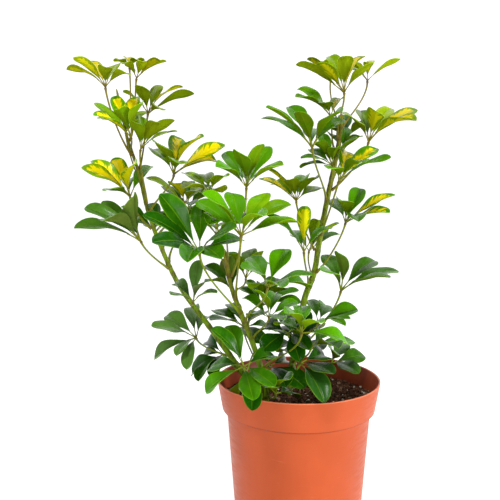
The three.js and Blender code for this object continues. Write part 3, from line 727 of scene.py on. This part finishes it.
def leaf_green(t, tone):
    """The green of a leaf: dark and glossy at tone 0, fresh at 0.5, pale yellow-green at 1."""
    green = mixed(t, ramp(t, tone, 0.0, 0.5), DARK_GREEN, FRESH_GREEN)
    return mixed(t, ramp(t, tone, 0.5, 1.0), green, PALE_GREEN)


def shaded(t, colour, share):
    """The colour darkened by the leaflet's shade, which is partly painted shade, and by painted shade near
    the hub.
    """
    # Painted shade, deepest near the hub; towards the tip the colour is painted a little lighter.
    return colour * (stored_value(t, "shade") * ramp(t, share, 0.0, 0.7, 0.65, 1.13))


print("leaf greens:", DARK_GREEN, FRESH_GREEN, PALE_GREEN)

# %% The leaf's materials
CREAM = (0.780, 0.640, 0.002)
# The pale green of the veins, which also paints the highlight along the face's margin.
VEIN_AND_EDGE_HIGHLIGHT = (0.250, 0.440, 0.008)
DULL_GREEN = (0.200, 0.225, 0.006)
DULL_CREAM = (0.560, 0.520, 0.004)
OLD_GREY = (0.200, 0.250, 0.120)
STALK_GREEN = (0.150, 0.240, 0.004)
STALK_OLIVE = (0.180, 0.140, 0.006)
STALK_BROWN = (0.110, 0.055, 0.020)
STALK_FLECK = (0.20, 0.13, 0.05)


def blade_colour(t, green, yellow, halo, patch, vein, margin, grey):
    """The green with its yellow, its paler veins, a pale margin that is partly the leaflet's own and partly
    a painted highlight, and the grey of an old leaf.
    """
    share, side, off_midrib, number = blade_places(t)
    cream = stored_value(t, "cream")
    depth = cream_depth(t, share, side, off_midrib, number, cream)
    colour = mixed(t, cream_mask(t, depth, cream, -0.3, 0.0) * halo, green, yellow)
    colour = mixed(t, cream_mask(t, depth, cream, -0.03, 0.03) * patch, colour, yellow)
    veins = vein_mask(t, share, off_midrib)
    colour = mixed(t, veins * vein, colour, VEIN_AND_EDGE_HIGHLIGHT)
    # The pale margin on the face is partly the leaflet's own paler edge and partly a painted highlight.
    colour = mixed(t, ramp(t, off_midrib, 0.9, 1.0) * margin, colour, VEIN_AND_EDGE_HIGHLIGHT)
    colour = mixed(t, stored_value(t, "grey") * grey, colour, OLD_GREY)
    return shaded(t, colour, share), veins


def leaf_face_material():
    """Waxy: a smooth coat over a mottled green."""
    material, t, shader = shader_tree(
        "leaf_face", 0.3, Specular_IOR_Level=0.08, Coat_Weight=0.14, Coat_Roughness=0.2, Coat_IOR=1.35
    )
    place = object_place(t)
    mottle = noise(t, place, 90)
    green = leaf_green(t, stored_value(t, "tone") + ramp(t, mottle, 0.3, 0.7, -0.05, 0.05))
    colour, veins = blade_colour(t, green, CREAM, halo=0.3, patch=1.0, vein=0.26, margin=0.35, grey=0.5)
    t.set(shader.inputs["Base Color"], colour)
    t.set(shader.inputs["Roughness"], ramp(t, mottle, 0.3, 0.7, 0.18, 0.30))
    relief(t, shader, 0.35, 0.4 * MM, noise(t, place, 420, detail=2) * 0.25 - veins)
    return material


def leaf_back_material():
    """Dull: a paler green without a coat, with the veins raised."""
    material, t, shader = shader_tree("leaf_back", 0.7, Specular_IOR_Level=0)
    dull = ramp(t, noise(t, object_place(t), 70), 0.3, 0.7, 0.35, 0.6)
    green = mixed(t, dull, leaf_green(t, stored_value(t, "tone")), DULL_GREEN)
    colour, veins = blade_colour(t, green, DULL_CREAM, halo=0, patch=0.85, vein=0.25, margin=0, grey=1)
    t.set(shader.inputs["Base Color"], colour)
    relief(t, shader, 0.5, 0.5 * MM, veins)
    return material


def stalk_material():
    """Yellow-green, darker and browner where the stalk swells at its foot and its hub."""
    material, t, shader = shader_tree("leaf_stalk", 0.45, Specular_IOR_Level=0.12)
    way = stored_value(t, "along")
    green = mixed(t, stored_value(t, "tone"), STALK_GREEN, STALK_OLIVE)
    ends = t.math("MAXIMUM", ramp(t, way, 0.0, 0.14, 1, 0), ramp(t, way, 0.9, 1.0))
    colour = mixed(t, ends * 0.65, green, STALK_BROWN)
    flecks = noise(t, object_place(t), 300, detail=2)
    colour = mixed(t, ramp(t, flecks, 0.55, 0.75, 0.0, 0.3), colour, STALK_FLECK)
    t.set(shader.inputs["Base Color"], colour)
    return material


LEAF_FACE = leaf_face_material()
LEAF_BACK = leaf_back_material()
LEAF_STALK = stalk_material()
print("leaf materials:", LEAF_FACE.name, LEAF_BACK.name, LEAF_STALK.name)

# %% [markdown]
# The tree that grows a leaf
#
# A leaflet is an obovate blade: it starts narrow, is widest past its middle and has a round tip. It
# is folded a little along the midrib, arches downwards and has a waved margin. Hundreds of blades
# could be modelled one by one, but they all follow this rule and differ only in their numbers. So a
# node tree puts a flat grid on one point for each leaflet and bends the grid by the numbers stored
# on that point. The stalks are the edges of the same mesh, turned to tubes.

# %% The blades
OUTLINE = [
    (0.0, 0.05), (0.12, 0.24), (0.30, 0.60), (0.48, 0.91), (0.62, 1.0), (0.78, 0.90),
    (0.90, 0.64), (0.965, 0.36), (1.0, 0.06),
]
WAVE_SLANT = 1.4
WAVE_SHIFT = 7.3
WELD = 0.01


def parted(t, mesh, output):
    """The points that carry a blade, as the output Selection, or the stalks, as Inverted."""
    inputs = {"Geometry": mesh, "Selection": named(t, "is_blade", "BOOLEAN")}
    return t.node("GeometryNodeSeparateGeometry", inputs, output)


def bent_blades(t, given):
    """One grid for each blade point, bent by the numbers stored on that point."""
    grid = t.node(
        "GeometryNodeMeshGrid",
        {"Size X": 1.0, "Size Y": 2.0, "Vertices X": given["Rows"], "Vertices Y": given["Columns"]},
    )
    grid = stored(t, grid, "flat", position(t) + (0.5, 0.0, 0.0), "FLOAT_VECTOR")
    inputs = {"Points": parted(t, given["Mesh"], "Selection"), "Instance": grid}
    sheets = realized(t, t.node("GeometryNodeInstanceOnPoints", inputs))

    row, side, _ = t.parts("ShaderNodeSeparateXYZ", {"Vector": named(t, "flat", "FLOAT_VECTOR")})
    share = (row + t.math("SINE", row * (math.pi / 2))) * 0.5
    number = named(t, "number")
    blade = t.node("ShaderNodeCombineXYZ", {"X": share, "Y": side, "Z": number})
    sheets = stored(t, sheets, "blade", blade, "FLOAT_VECTOR")

    reached = given["Stalklet"] + share * (1.0 - given["Stalklet"])
    droop = named(t, "droop")
    start = droop * 0.5
    pitch = start - droop * reached
    size = t.math("DIVIDE", named(t, "length"), droop)
    reach = size * (t.math("SINE", start) - t.math("SINE", pitch))
    climb = size * (t.math("COSINE", pitch) - t.math("COSINE", start))
    ray, face, across, hub = (named(t, key, "FLOAT_VECTOR") for key in ("ray", "face", "across", "hub"))
    upright = face * t.math("COSINE", pitch) - ray * t.math("SINE", pitch)

    off_midrib = abs(side)
    outer = off_midrib * off_midrib
    fold = named(t, "fold") * off_midrib
    turn = named(t, "twist") * share * side
    phase = share * given["Waves"] + number * WAVE_SHIFT
    wave = t.math("SINE", phase + side * WAVE_SLANT) * given["Wave height"] * outer
    lift = (fold - given["Cup"] * outer) + (turn + wave)
    width = named(t, "half") * curved(t, share, OUTLINE)
    spot = hub + ray * reach + face * climb + across * (side * width) + upright * (lift * width)
    return t.node("GeometryNodeSetPosition", {"Geometry": sheets, "Position": spot})


def thickened(t, sheets, thickness):
    """A closed blade: the sheet raised, walled at its margin, and closed below by a dull underside."""
    inputs = {"Mesh": sheets, "Offset Scale": thickness, "Individual": False}
    raised, _, walls = t.parts("GeometryNodeExtrudeMesh", inputs)
    above = smooth(t, raised, t.node("FunctionNodeBooleanMath", {0: walls}, operation="NOT"))
    below = smooth(t, t.node("GeometryNodeFlipFaces", {"Mesh": sheets}))
    both = joined(t, painted(t, above, LEAF_FACE), painted(t, below, LEAF_BACK))
    return t.node("GeometryNodeMergeByDistance", {"Geometry": both, "Distance": WELD * MM})


print("blades are widest at", max(OUTLINE, key=lambda stop: stop[1])[0], "of their length")

# %% The whole leaf
BLADE_ROWS = 17
BLADE_COLUMNS = 9
BLADE_THICKNESS = 0.6
STALKLET_SHARE = 0.2
STALK_SIDES = 9


def tubes(t, mesh, sides):
    """The edges of a mesh as round tubes of the girth stored on its points."""
    curve = t.node("GeometryNodeMeshToCurve", {"Mesh": mesh})
    circle = t.node("GeometryNodeCurvePrimitiveCircle", {"Resolution": sides, "Radius": 1.0})
    inputs = {"Curve": curve, "Profile Curve": circle, "Scale": named(t, "girth"), "Fill Caps": True}
    return smooth(t, t.node("GeometryNodeCurveToMesh", inputs))


def leaf_tree():
    t, given = geometry_tree("grow_leaf", {
        "Rows": BLADE_ROWS, "Columns": BLADE_COLUMNS, "Thickness": BLADE_THICKNESS * MM,
        "Stalklet": STALKLET_SHARE, "Cup": 0.2, "Waves": 8.0, "Wave height": 0.13,
    })
    blades = thickened(t, bent_blades(t, given), given["Thickness"])
    stalks = tubes(t, parted(t, given["Mesh"], "Inverted"), STALK_SIDES)
    return finished(t, realized(t, joined(t, blades, painted(t, stalks, LEAF_STALK))))


LEAF_TREE = leaf_tree()
print("leaf tree:", len(LEAF_TREE.nodes), "nodes")

# %% [markdown]
# From the plan to the leaves
#
# Each leaf gets a small seed mesh: one loose point for each leaflet, which carries that blade's
# directions and sizes, and a chain of edges for the stalk and for each short stalk of a leaflet. The
# stalk leaves the stem outwards, rises and comes up into the hub from below, which is a single
# Bezier arc. The small differences between leaflets are drawn from a seeded generator.

# %% The stalk and the seed of a leaf
STALK_BOW = 0.25
STALK_RISE = 1.1
RING_HEIGHT = 0.5
HUB_SINK = 0.5
VECTORS = ("ray", "face", "across", "hub")
NUMBERS = (
    "length", "half", "droop", "fold", "twist", "number", "tone", "shade", "grey", "cream", "girth", "along",
)


def between(stops, share):
    """The value at a share of the way through (share, value) stops."""
    for (a, low), (b, high) in zip(stops, stops[1:]):
        if share <= b:
            return low + (high - low) * (share - a) / (b - a)
    return stops[-1][1]


def bezier(points, t):
    a, b, c, d = points
    return a * (1 - t)**3 + b * 3 * t * (1 - t)**2 + c * 3 * t * t * (1 - t) + d * t**3


def stalk_curve(stem, foot_height, hub, normal):
    """The four Bezier points of a leaf's stalk, from the stem's skin to the hub."""
    centre, direction = along(stem["axis"], foot_height)
    out = hub - centre
    out = (out - direction * out.dot(direction)).normalized()
    foot = centre + out * (stem_radius(stem, foot_height) + RING_HEIGHT - GAP)
    neck = hub - normal * HUB_SINK
    reach = (foot - neck).length * STALK_BOW
    away = (out + direction * STALK_RISE).normalized()
    return foot, foot + away * reach, neck - normal * reach, neck


class Seed:
    """Collects the points and edges of a leaf, with the numbers that the tree reads from them."""

    def __init__(self):
        self.points = []
        self.edges = []
        self.values = []

    def chain(self, points, radii, shares, **values):
        first = len(self.points)
        for point, radius, share in zip(points, radii, shares):
            self.points.append(point * MM)
            self.values.append(dict(values, is_blade=False, girth=radius * MM, along=share))
        self.edges += [(first + i, first + i + 1) for i in range(len(points) - 1)]

    def blade(self, hub, **values):
        self.points.append(hub * MM)
        self.values.append(dict(values, is_blade=True, hub=hub * MM))

    def mesh(self, name):
        made = bpy.data.meshes.new(name)
        made.from_pydata(self.points, self.edges, [])
        for key in VECTORS:
            attribute(made, key, [v.get(key, (0, 0, 0)) for v in self.values], "FLOAT_VECTOR")
        for key in NUMBERS:
            attribute(made, key, [v.get(key, 0.0) for v in self.values])
        attribute(made, "is_blade", [v["is_blade"] for v in self.values], "BOOLEAN")
        return made


print("a seed point carries", len(VECTORS) + len(NUMBERS) + 1, "attributes")

# %% The leaves in their places
STALK_POINTS = 22
STALK_RADII = [(0, 2.1), (0.07, 1.5), (0.3, 1.0), (0.6, 0.9), (0.93, 1.1), (1, 1.7)]
STALKLET_POINTS = 6
STALKLET_RADII = [(0, 0.95), (0.4, 0.62), (1, 0.5)]
STALKLET_LAP = 0.05
USUAL_LENGTH = 60
FIRST_SEED = 1000


def even_shares(count):
    return [i / (count - 1) for i in range(count)]


def add_leaflet(seed, draw, leaf, fan, ray, yellow):
    """The point of one blade and the chain of its short stalk."""
    hub, rays, normal = fan
    length = leaf.length * draw.uniform(0.97, 1.05)
    face, across = blade_axes(ray, normal, leaf.roll)
    droop = DROOP * draw.uniform(0.6, 1.4)
    half = half_width(rays, ray, length) * leaf.width
    seed.blade(
        hub, ray=ray, face=face, across=across, length=length * MM, half=half * MM,
        droop=math.radians(droop), fold=draw.uniform(0.3, 0.75), twist=draw.uniform(-0.3, 0.3),
        number=draw.uniform(0, 20), tone=leaf.tone + draw.uniform(-0.1, 0.1),
        shade=leaf.shade * draw.uniform(0.75, 1.25), grey=leaf.grey,
        cream=draw.uniform(0.55, 0.85) if yellow else 0.0,
    )
    points = []
    for share in even_shares(STALKLET_POINTS):
        reach, climb = arc(length, share * (STALKLET_SHARE + STALKLET_LAP), droop)
        points.append(hub + ray * reach + face * climb)
    thickness = length / USUAL_LENGTH
    radii = [between(STALKLET_RADII, share) * thickness for share in even_shares(STALKLET_POINTS)]
    seed.chain(points, radii, [1 - 0.3 * share for share in even_shares(STALKLET_POINTS)], tone=leaf.tone)


def make_leaf(name, leaf, number):
    draw = random.Random(FIRST_SEED + number)
    hub, rays, normal = fan_of(leaf)
    seed = Seed()
    curve = stalk_curve(STEMS[stem_of(name)], leaf.foot, hub, normal)
    shares = even_shares(STALK_POINTS)
    thickness = 0.75 + 0.25 * leaf.length / USUAL_LENGTH
    radii = [between(STALK_RADII, share) * thickness for share in shares]
    seed.chain([bezier(curve, share) for share in shares], radii, shares, tone=leaf.tone)
    for i, ray in enumerate(rays):
        add_leaflet(seed, draw, leaf, (hub, rays, normal), ray, i in leaf.yellow)
    fan = grown(name.replace("leaf", "fan"), seed.mesh(name + "_seed"), LEAF_TREE)
    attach(fan, "root")
    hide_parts(name)
    return fan


fans = [make_leaf(name, leaf, number) for number, (name, leaf) in enumerate(LEAVES.items())]
print(len(fans), "leaves,", sum(len(fan.data.polygons) for fan in fans), "faces")

# %% [markdown]
# The stems
#
# The stems are green with darker streaks, and olive-brown towards their young tips. Every leaf that
# fell leaves a ring-shaped scar, so a stem looks jointed. It could be one long cylinder with a bump
# map, but the rings show in its outline. So they are in its radius, one where each leaf sits and some
# between, where older leaves have fallen. The bark's streaks are noise that is stretched upwards, and
# its age and its rings are numbers stored along the stem.

# %% The bark
STEM_SIDES = 20
OLD_BARK = (0.145, 0.260, 0.003)
YOUNG_BARK = (0.150, 0.145, 0.002)
BARK_STREAK = (0.040, 0.055, 0.003)
SCAR_BROWN = (0.080, 0.042, 0.008)
LENTICEL = (0.42, 0.36, 0.20)


def stem_material():
    material, t, shader = shader_tree("stem_bark", 0.5, Specular_IOR_Level=0.12)
    place = object_place(t)
    green = mixed(t, stored_value(t, "age"), YOUNG_BARK, OLD_BARK)
    streaks = noise(t, stretched(t, place, 0.25), 260, detail=4)
    colour = mixed(t, ramp(t, streaks, 0.46, 0.62, 0.0, 0.7), green, BARK_STREAK)
    colour = mixed(t, stored_value(t, "ring") * 0.5, colour, SCAR_BROWN)
    lenticels = noise(t, place, 700, detail=1)
    colour = mixed(t, ramp(t, lenticels, 0.68, 0.74, 0.0, 0.6), colour, LENTICEL)
    t.set(shader.inputs["Base Color"], colour)
    relief(t, shader, 0.5, 0.5 * MM, streaks * 0.6 + lenticels * 0.5)
    return material


STEM_BARK = stem_material()


def stem_tree():
    t, given = geometry_tree("grow_stem", {"Sides": STEM_SIDES, "Knots": 0.5 * MM})
    skin = tubes(t, given["Mesh"], given["Sides"])
    push = (noise(t, position(t), 120, detail=2, roughness=0.5) - 0.5) * given["Knots"]
    offset = t.node("GeometryNodeInputNormal") * push
    skin = t.node("GeometryNodeSetPosition", {"Geometry": skin, "Offset": offset})
    return finished(t, painted(t, realized(t, skin), STEM_BARK))


STEM_TREE = stem_tree()
print("stem tree:", len(STEM_TREE.nodes), "nodes")

# %% The stems
STEM_STEP = 1.5
SCAR_WIDTH = 1.6
SCAR_HEIGHT = 0.10
SCAR_SPACING = 17
FIRST_SCAR = 6
BUD_LENGTH = 6
BUD_TIP = 0.25


def scar_heights(name, draw):
    """The heights of a stem's rings: the feet of its leaves, and old scars in the gaps between."""
    feet = sorted(leaf.foot for key, leaf in LEAVES.items() if stem_of(key) == name)
    rings = list(feet)
    low = SOIL_TOP + FIRST_SCAR
    for high in feet:
        gaps = max(round((high - low) / SCAR_SPACING), 1)
        rings += [low + (high - low) * i / gaps + draw.uniform(-2, 2) for i in range(1, gaps)]
        low = high
    return rings


def make_stem(name, stem, number):
    rings = scar_heights(name, random.Random(number))
    low, high = stem["axis"][0][2], stem["axis"][-1][2]
    count = round((high - low) / STEM_STEP)
    points, radii, ring_marks, ages = [], [], [], []
    for i in range(count + 1):
        height = low + (high - low) * i / count
        swell = min(sum(math.exp(-((height - ring) / SCAR_WIDTH)**2) for ring in rings), 1)
        bud = BUD_TIP + (1 - BUD_TIP) * min((high - height) / BUD_LENGTH, 1)**0.5
        points.append(along(stem["axis"], height)[0] * MM)
        radii.append(stem_radius(stem, height) * (1 + SCAR_HEIGHT * swell) * bud * MM)
        ring_marks.append(swell)
        ages.append(1 - min(max(height - SOIL_TOP, 0) / (high - SOIL_TOP) * 1.15, 1)**2)
    mesh = bpy.data.meshes.new(name + "_seed")
    mesh.from_pydata(points, [(i, i + 1) for i in range(count)], [])
    for key, values in (("girth", radii), ("ring", ring_marks), ("age", ages)):
        attribute(mesh, key, values)
    bark = grown(name.replace("stem", "bark"), mesh, STEM_TREE)
    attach(bark, "root")
    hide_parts(name)
    return bark


barks = [make_stem(name, stem, number) for number, (name, stem) in enumerate(STEMS.items())]
print("stems:", [len(bark.data.polygons) for bark in barks], "faces")

# %% [markdown]
# The pot
#
# A nursery pot is moulded in one piece: a tapered body, a deep straight band round its top and a
# thin rim. Its outline is a turned profile, and turning that profile round the axis gives the body.
# The drainage holes are cut through the floor with a boolean. The plastic is terracotta-coloured and
# satin. Clean plastic looks like wax, so it has faint scuffs. Its lip is lightened by a painted
# highlight, a painted shadow darkens the wall just under the band, and its inner wall, which is told
# apart by where its faces look, is darkened by stains from the soil and by painted shade.

# %% The pot's shape
POT_SIDES = 192
RIM_ROUND = 0.9
ROUND_STEPS = 4
BAND_FOOT = POT_HEIGHT - BAND_HEIGHT
LEDGE = BAND_FOOT + POT_WALL


def rounded(points):
    """A profile whose marked corners are rounded: points are (r, z, round or not)."""
    result = []
    for i, (r, z, soft) in enumerate(points):
        here = Vector((r, z))
        if not soft:
            result.append(here)
            continue
        before = (Vector(points[i - 1][:2]) - here).normalized()
        after = (Vector(points[(i + 1) % len(points)][:2]) - here).normalized()
        start, end = here + before * RIM_ROUND, here + after * RIM_ROUND
        for k in range(ROUND_STEPS + 1):
            s = k / ROUND_STEPS
            result.append(start * (1 - s)**2 + here * 2 * s * (1 - s) + end * s**2)
    return result


def turned(name, profile, sides):
    """The body that a profile sweeps round the axis. It starts and ends on the axis."""
    bm = bmesh.new()
    rings = []
    turns = [2 * math.pi * i / sides for i in range(sides)]
    for r, z in profile:
        if r == 0:
            rings.append([bm.verts.new((0, 0, z * MM))] * sides)
        else:
            rings.append([bm.verts.new((r * math.cos(a) * MM, r * math.sin(a) * MM, z * MM)) for a in turns])
    for low, high in zip(rings, rings[1:]):
        for i in range(sides):
            corners = (low[i], low[(i + 1) % sides], high[(i + 1) % sides], high[i])
            bm.faces.new(list(dict.fromkeys(corners)))
    bmesh.ops.recalc_face_normals(bm, faces=bm.faces)
    mesh = bpy.data.meshes.new(name)
    bm.to_mesh(mesh)
    bm.free()
    return placed(name, mesh)


def pot_profile():
    outer = [
        (0, 0, False), (POT_BASE_RADIUS, 0, True), (BODY_TOP_RADIUS, BAND_FOOT, True),
        (BAND_FOOT_RADIUS, BAND_FOOT, True), (RIM_RADIUS, POT_HEIGHT, True),
    ]
    inner = [
        (RIM_RADIUS - POT_WALL, POT_HEIGHT, True), (BAND_FOOT_RADIUS - POT_WALL, LEDGE, True),
        (BODY_TOP_RADIUS - POT_WALL, LEDGE, True), (POT_BASE_RADIUS - POT_WALL, POT_FLOOR, True),
        (0, POT_FLOOR, False),
    ]
    return rounded(outer + inner)


def cut_drain_holes(pot):
    for i in range(DRAIN_HOLES):
        turn = 2 * math.pi * i / DRAIN_HOLES
        cutter = turned("drain_cutter", [(0, -5), (DRAIN_RADIUS, -5), (DRAIN_RADIUS, 9), (0, 9)], 32)
        place = (DRAIN_RING_RADIUS * math.cos(turn) * MM, DRAIN_RING_RADIUS * math.sin(turn) * MM, 0)
        cutter.data.transform(Matrix.Translation(place))
        cut = pot.modifiers.new("drain", "BOOLEAN")
        cut.operation = "DIFFERENCE"
        cut.solver = "EXACT"
        cut.object = cutter
        result = bpy.data.meshes.new_from_object(pot.evaluated_get(bpy.context.evaluated_depsgraph_get()))
        pot.modifiers.clear()
        pot.data = result
        bpy.data.objects.remove(cutter)


print("pot profile:", len(pot_profile()), "points")

# %% The pot's plastic
PLASTIC = (0.400, 0.066, 0.016)
PLASTIC_PALER = (0.440, 0.074, 0.019)
SCUFF = (0.78, 0.30, 0.18)
# The next three colours: soil stains deepened into painted shade on the inner wall, a painted shadow under
# the band, and a painted highlight on the lip.
STAIN_AND_SHADE = (0.150, 0.024, 0.008)
BAND_SHADOW = (0.110, 0.016, 0.005)
LIP_HIGHLIGHT = (0.800, 0.260, 0.130)


def facing_axis(t, place):
    """1 on the inner wall, whose faces look towards the pot's axis, and 0 outside."""
    normal = t.node("ShaderNodeNewGeometry", None, "Normal")
    flat = t.node("ShaderNodeVectorMath", {0: place, 1: (1, 1, 0)}, operation="MULTIPLY")
    outward = t.node("ShaderNodeVectorMath", {0: normal, 1: flat}, "Value", operation="DOT_PRODUCT")
    return ramp(t, outward, -0.05, -0.02, 1, 0)


def pot_material():
    material, t, shader = shader_tree("terracotta_plastic", 0.42, Specular_IOR_Level=0.16)
    place = object_place(t)
    colour = mixed(t, ramp(t, noise(t, place, 14), 0.35, 0.65), PLASTIC, PLASTIC_PALER)
    scuffs = noise(t, stretched(t, place, 6), 60, detail=5)
    colour = mixed(t, ramp(t, scuffs, 0.64, 0.78, 0.0, 0.15), colour, SCUFF)
    # The inner wall is darkened partly by stains from the soil and partly by painted shade.
    stains_and_shade = facing_axis(t, place) * ramp(t, noise(t, place, 40), 0.3, 0.7, 0.55, 0.8)
    colour = mixed(t, stains_and_shade, colour, STAIN_AND_SHADE)
    height = t.node("ShaderNodeSeparateXYZ", {"Vector": place}, "Z")
    # Painted shadow: a dark line just under the band, where its step would cast a shadow.
    under_band = ramp(t, height, (BAND_FOOT - 3.5) * MM, BAND_FOOT * MM)
    above_band = ramp(t, height, (BAND_FOOT + 0.4) * MM, (BAND_FOOT + 1.4) * MM, 1, 0)
    colour = mixed(t, under_band * above_band * 0.65, colour, BAND_SHADOW)
    # Painted highlight: a pale line along the top of the rim.
    lip_highlight = ramp(t, height, (POT_HEIGHT - 1.4) * MM, (POT_HEIGHT - 0.5) * MM, 0.0, 0.45)
    colour = mixed(t, lip_highlight, colour, LIP_HIGHLIGHT)
    t.set(shader.inputs["Base Color"], colour)
    t.set(shader.inputs["Roughness"], ramp(t, scuffs, 0.4, 0.7, 0.36, 0.52))
    relief(t, shader, 0.15, 0.3 * MM, noise(t, place, 900, detail=2))
    return material


SHARP_ANGLE = 40

pot = turned("moulded_pot", pot_profile(), POT_SIDES)
cut_drain_holes(pot)
pot.data.materials.clear()
pot.data.materials.append(pot_material())
pot.data.shade_smooth()
pot.data.set_sharp_from_angle(angle=math.radians(SHARP_ANGLE))
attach(pot, "root")
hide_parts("pot")
print("pot:", len(pot.data.polygons), "faces")

# %% [markdown]
# The soil
#
# Peat is fibrous crumbs of many sizes, dark brown, with white grains of perlite between. A bumpy
# disc alone looks like cloth, so crumbs, fibres and grains lie on it as real shapes. They could be
# particles, but a scatter in a node tree stays in this script and gives plain meshes. Every crumb
# carries a random number, the tint, that makes some of them paler than the rest.

# %% The soil's materials
def peat_material():
    material, t, shader = shader_tree("peat", 0.9, Specular_IOR_Level=0.1)
    grains = noise(t, object_place(t), 320, detail=5, roughness=0.7)
    colour = mixed(t, ramp(t, grains, 0.35, 0.7), (0.026, 0.011, 0.006), (0.180, 0.078, 0.042))
    tint = stored_value(t, "tint")
    colour = mixed(t, ramp(t, tint, 0.55, 0.8, 0.0, 0.8), colour, (0.220, 0.100, 0.056))
    colour = mixed(t, ramp(t, tint, 0.90, 0.94, 0.0, 0.8), colour, (0.420, 0.260, 0.160))
    t.set(shader.inputs["Base Color"], colour)
    relief(t, shader, 0.8, 1 * MM, grains)
    return material


def perlite_material():
    material, t, shader = shader_tree("perlite", 0.8)
    grains = ramp(t, noise(t, object_place(t), 500), 0.3, 0.7)
    t.set(shader.inputs["Base Color"], mixed(t, grains, (0.62, 0.58, 0.50), (0.85, 0.83, 0.78)))
    return material


def fibre_material():
    material, t, shader = shader_tree("peat_fibre", 0.8)
    tint = noise(t, object_place(t), 90)
    t.set(shader.inputs["Base Color"], mixed(t, tint, (0.12, 0.055, 0.025), (0.45, 0.28, 0.15)))
    return material


PEAT = peat_material()
PERLITE = perlite_material()
FIBRE = fibre_material()
print("soil materials:", PEAT.name, PERLITE.name, FIBRE.name)

# %% The tree that grows the soil
CRUMB_DENSITY = 90000.0
PERLITE_DENSITY = 9000.0
FIBRE_DENSITY = 9000.0
ANY_TURN = 3.1
FLAT_TURN = 0.5


def drawn(t, low, high, seed):
    """A random number between two limits."""
    return t.node("FunctionNodeRandomValue", {2: low, 3: high, "Seed": seed}, 1, data_type="FLOAT")


def scattered(t, ground, density, seed, grain, size_low, size_high, tilt):
    """Copies of a grain on the ground, turned and sized at random, each with a tint."""
    inputs = {"Mesh": ground, "Density": density, "Seed": seed, "Selection": named(t, "is_top", "BOOLEAN")}
    points = t.node("GeometryNodeDistributePointsOnFaces", inputs)
    inputs = {"Min": (-tilt, -tilt, 0.0), "Max": (tilt, tilt, 6.28), "Seed": seed + 1}
    turn = t.node("FunctionNodeRandomValue", inputs, data_type="FLOAT_VECTOR")
    size = drawn(t, size_low, size_high, seed + 2)
    points = stored(t, points, "tint", drawn(t, 0.0, 1.0, seed + 3))
    inputs = {"Points": points, "Instance": grain, "Rotation": turn, "Scale": size}
    return realized(t, t.node("GeometryNodeInstanceOnPoints", inputs))


def lumpy_grains(t, ground, density, seed, size_low, size_high, amount):
    """Small balls on the ground, with their points pushed about by noise."""
    ball = t.node("GeometryNodeMeshIcoSphere", {"Radius": 1 * MM, "Subdivisions": 1})
    balls = scattered(t, ground, density, seed, ball, size_low, size_high, ANY_TURN)
    push = (noise(t, position(t), 900, detail=2, roughness=0.5, output=1) - (0.5, 0.5, 0.5)) * amount
    return t.node("GeometryNodeSetPosition", {"Geometry": balls, "Offset": push})


def thread(t):
    """A short bent fibre."""
    ends = {"Start": (-4 * MM, 0, 0), "Middle": (0, 1.5 * MM, 1.2 * MM), "End": (4 * MM, 0, 0)}
    line = t.node("GeometryNodeCurveQuadraticBezier", {"Resolution": 6, **ends})
    section = t.node("GeometryNodeCurvePrimitiveCircle", {"Resolution": 4, "Radius": 0.28 * MM})
    inputs = {"Curve": line, "Profile Curve": section, "Fill Caps": True}
    return t.node("GeometryNodeCurveToMesh", inputs)


def soil_tree():
    t, given = geometry_tree("grow_soil", {
        "Crumbs": CRUMB_DENSITY, "Perlite": PERLITE_DENSITY, "Fibres": FIBRE_DENSITY,
        "Humps": 3.5 * MM, "Clods": 1.6 * MM,
    })
    place = position(t)
    humps = (noise(t, place, 28, detail=2, roughness=0.5) - 0.5) * given["Humps"]
    clods = (noise(t, place, 190, detail=3, roughness=0.5) - 0.5) * given["Clods"]
    rise = t.node("ShaderNodeCombineXYZ", {"Z": humps + clods})
    inputs = {"Geometry": given["Mesh"], "Offset": rise, "Selection": named(t, "is_top", "BOOLEAN")}
    ground = t.node("GeometryNodeSetPosition", inputs)
    crumbs = lumpy_grains(t, ground, given["Crumbs"], 3, 0.5, 2.6, 1.4 * MM)
    beads = lumpy_grains(t, ground, given["Perlite"], 13, 0.3, 2.0, 1.0 * MM)
    threads = scattered(t, ground, given["Fibres"], 23, thread(t), 0.4, 1.3, FLAT_TURN)
    parts = ((ground, PEAT), (crumbs, PEAT), (beads, PERLITE), (threads, FIBRE))
    return finished(t, realized(t, joined(t, *(painted(t, part, material) for part, material in parts))))


SOIL_TREE = soil_tree()
print("soil tree:", len(SOIL_TREE.nodes), "nodes")

# %% The soil in the pot
SOIL_RINGS = 70
SOIL_SIDES = 144


def inside_radius(height):
    """The radius of the pot's inner wall inside its band."""
    share = (height - LEDGE) / (POT_HEIGHT - LEDGE)
    return BAND_FOOT_RADIUS - POT_WALL + (RIM_RADIUS - BAND_FOOT_RADIUS) * share


def make_soil():
    edge = inside_radius(SOIL_TOP) - GAP
    top = [(edge * i / SOIL_RINGS, SOIL_TOP) for i in range(SOIL_RINGS + 1)]
    below = [
        (BAND_FOOT_RADIUS - POT_WALL - GAP, LEDGE + GAP), (BODY_TOP_RADIUS - POT_WALL - GAP, LEDGE + GAP),
        (POT_BASE_RADIUS - POT_WALL, POT_FLOOR + GAP), (0, POT_FLOOR + GAP),
    ]
    ground = turned("soil_ground", top + below, SOIL_SIDES)
    mesh = ground.data
    inner = (edge - 0.5) * MM
    tops = [v.co.z > (SOIL_TOP - 1) * MM and v.co.xy.length < inner for v in mesh.vertices]
    attribute(mesh, "is_top", tops, "BOOLEAN")
    bpy.data.objects.remove(ground)
    soil = grown("peat_soil", mesh, SOIL_TREE)
    soil.data.polygons.foreach_set("use_smooth", [True] * len(soil.data.polygons))
    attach(soil, "root")
    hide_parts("soil")
    return soil


soil = make_soil()
print("soil:", len(soil.data.polygons), "faces")

# %% [markdown]
# The size
#
# The fine pieces may not outgrow the bodies that they stand for.
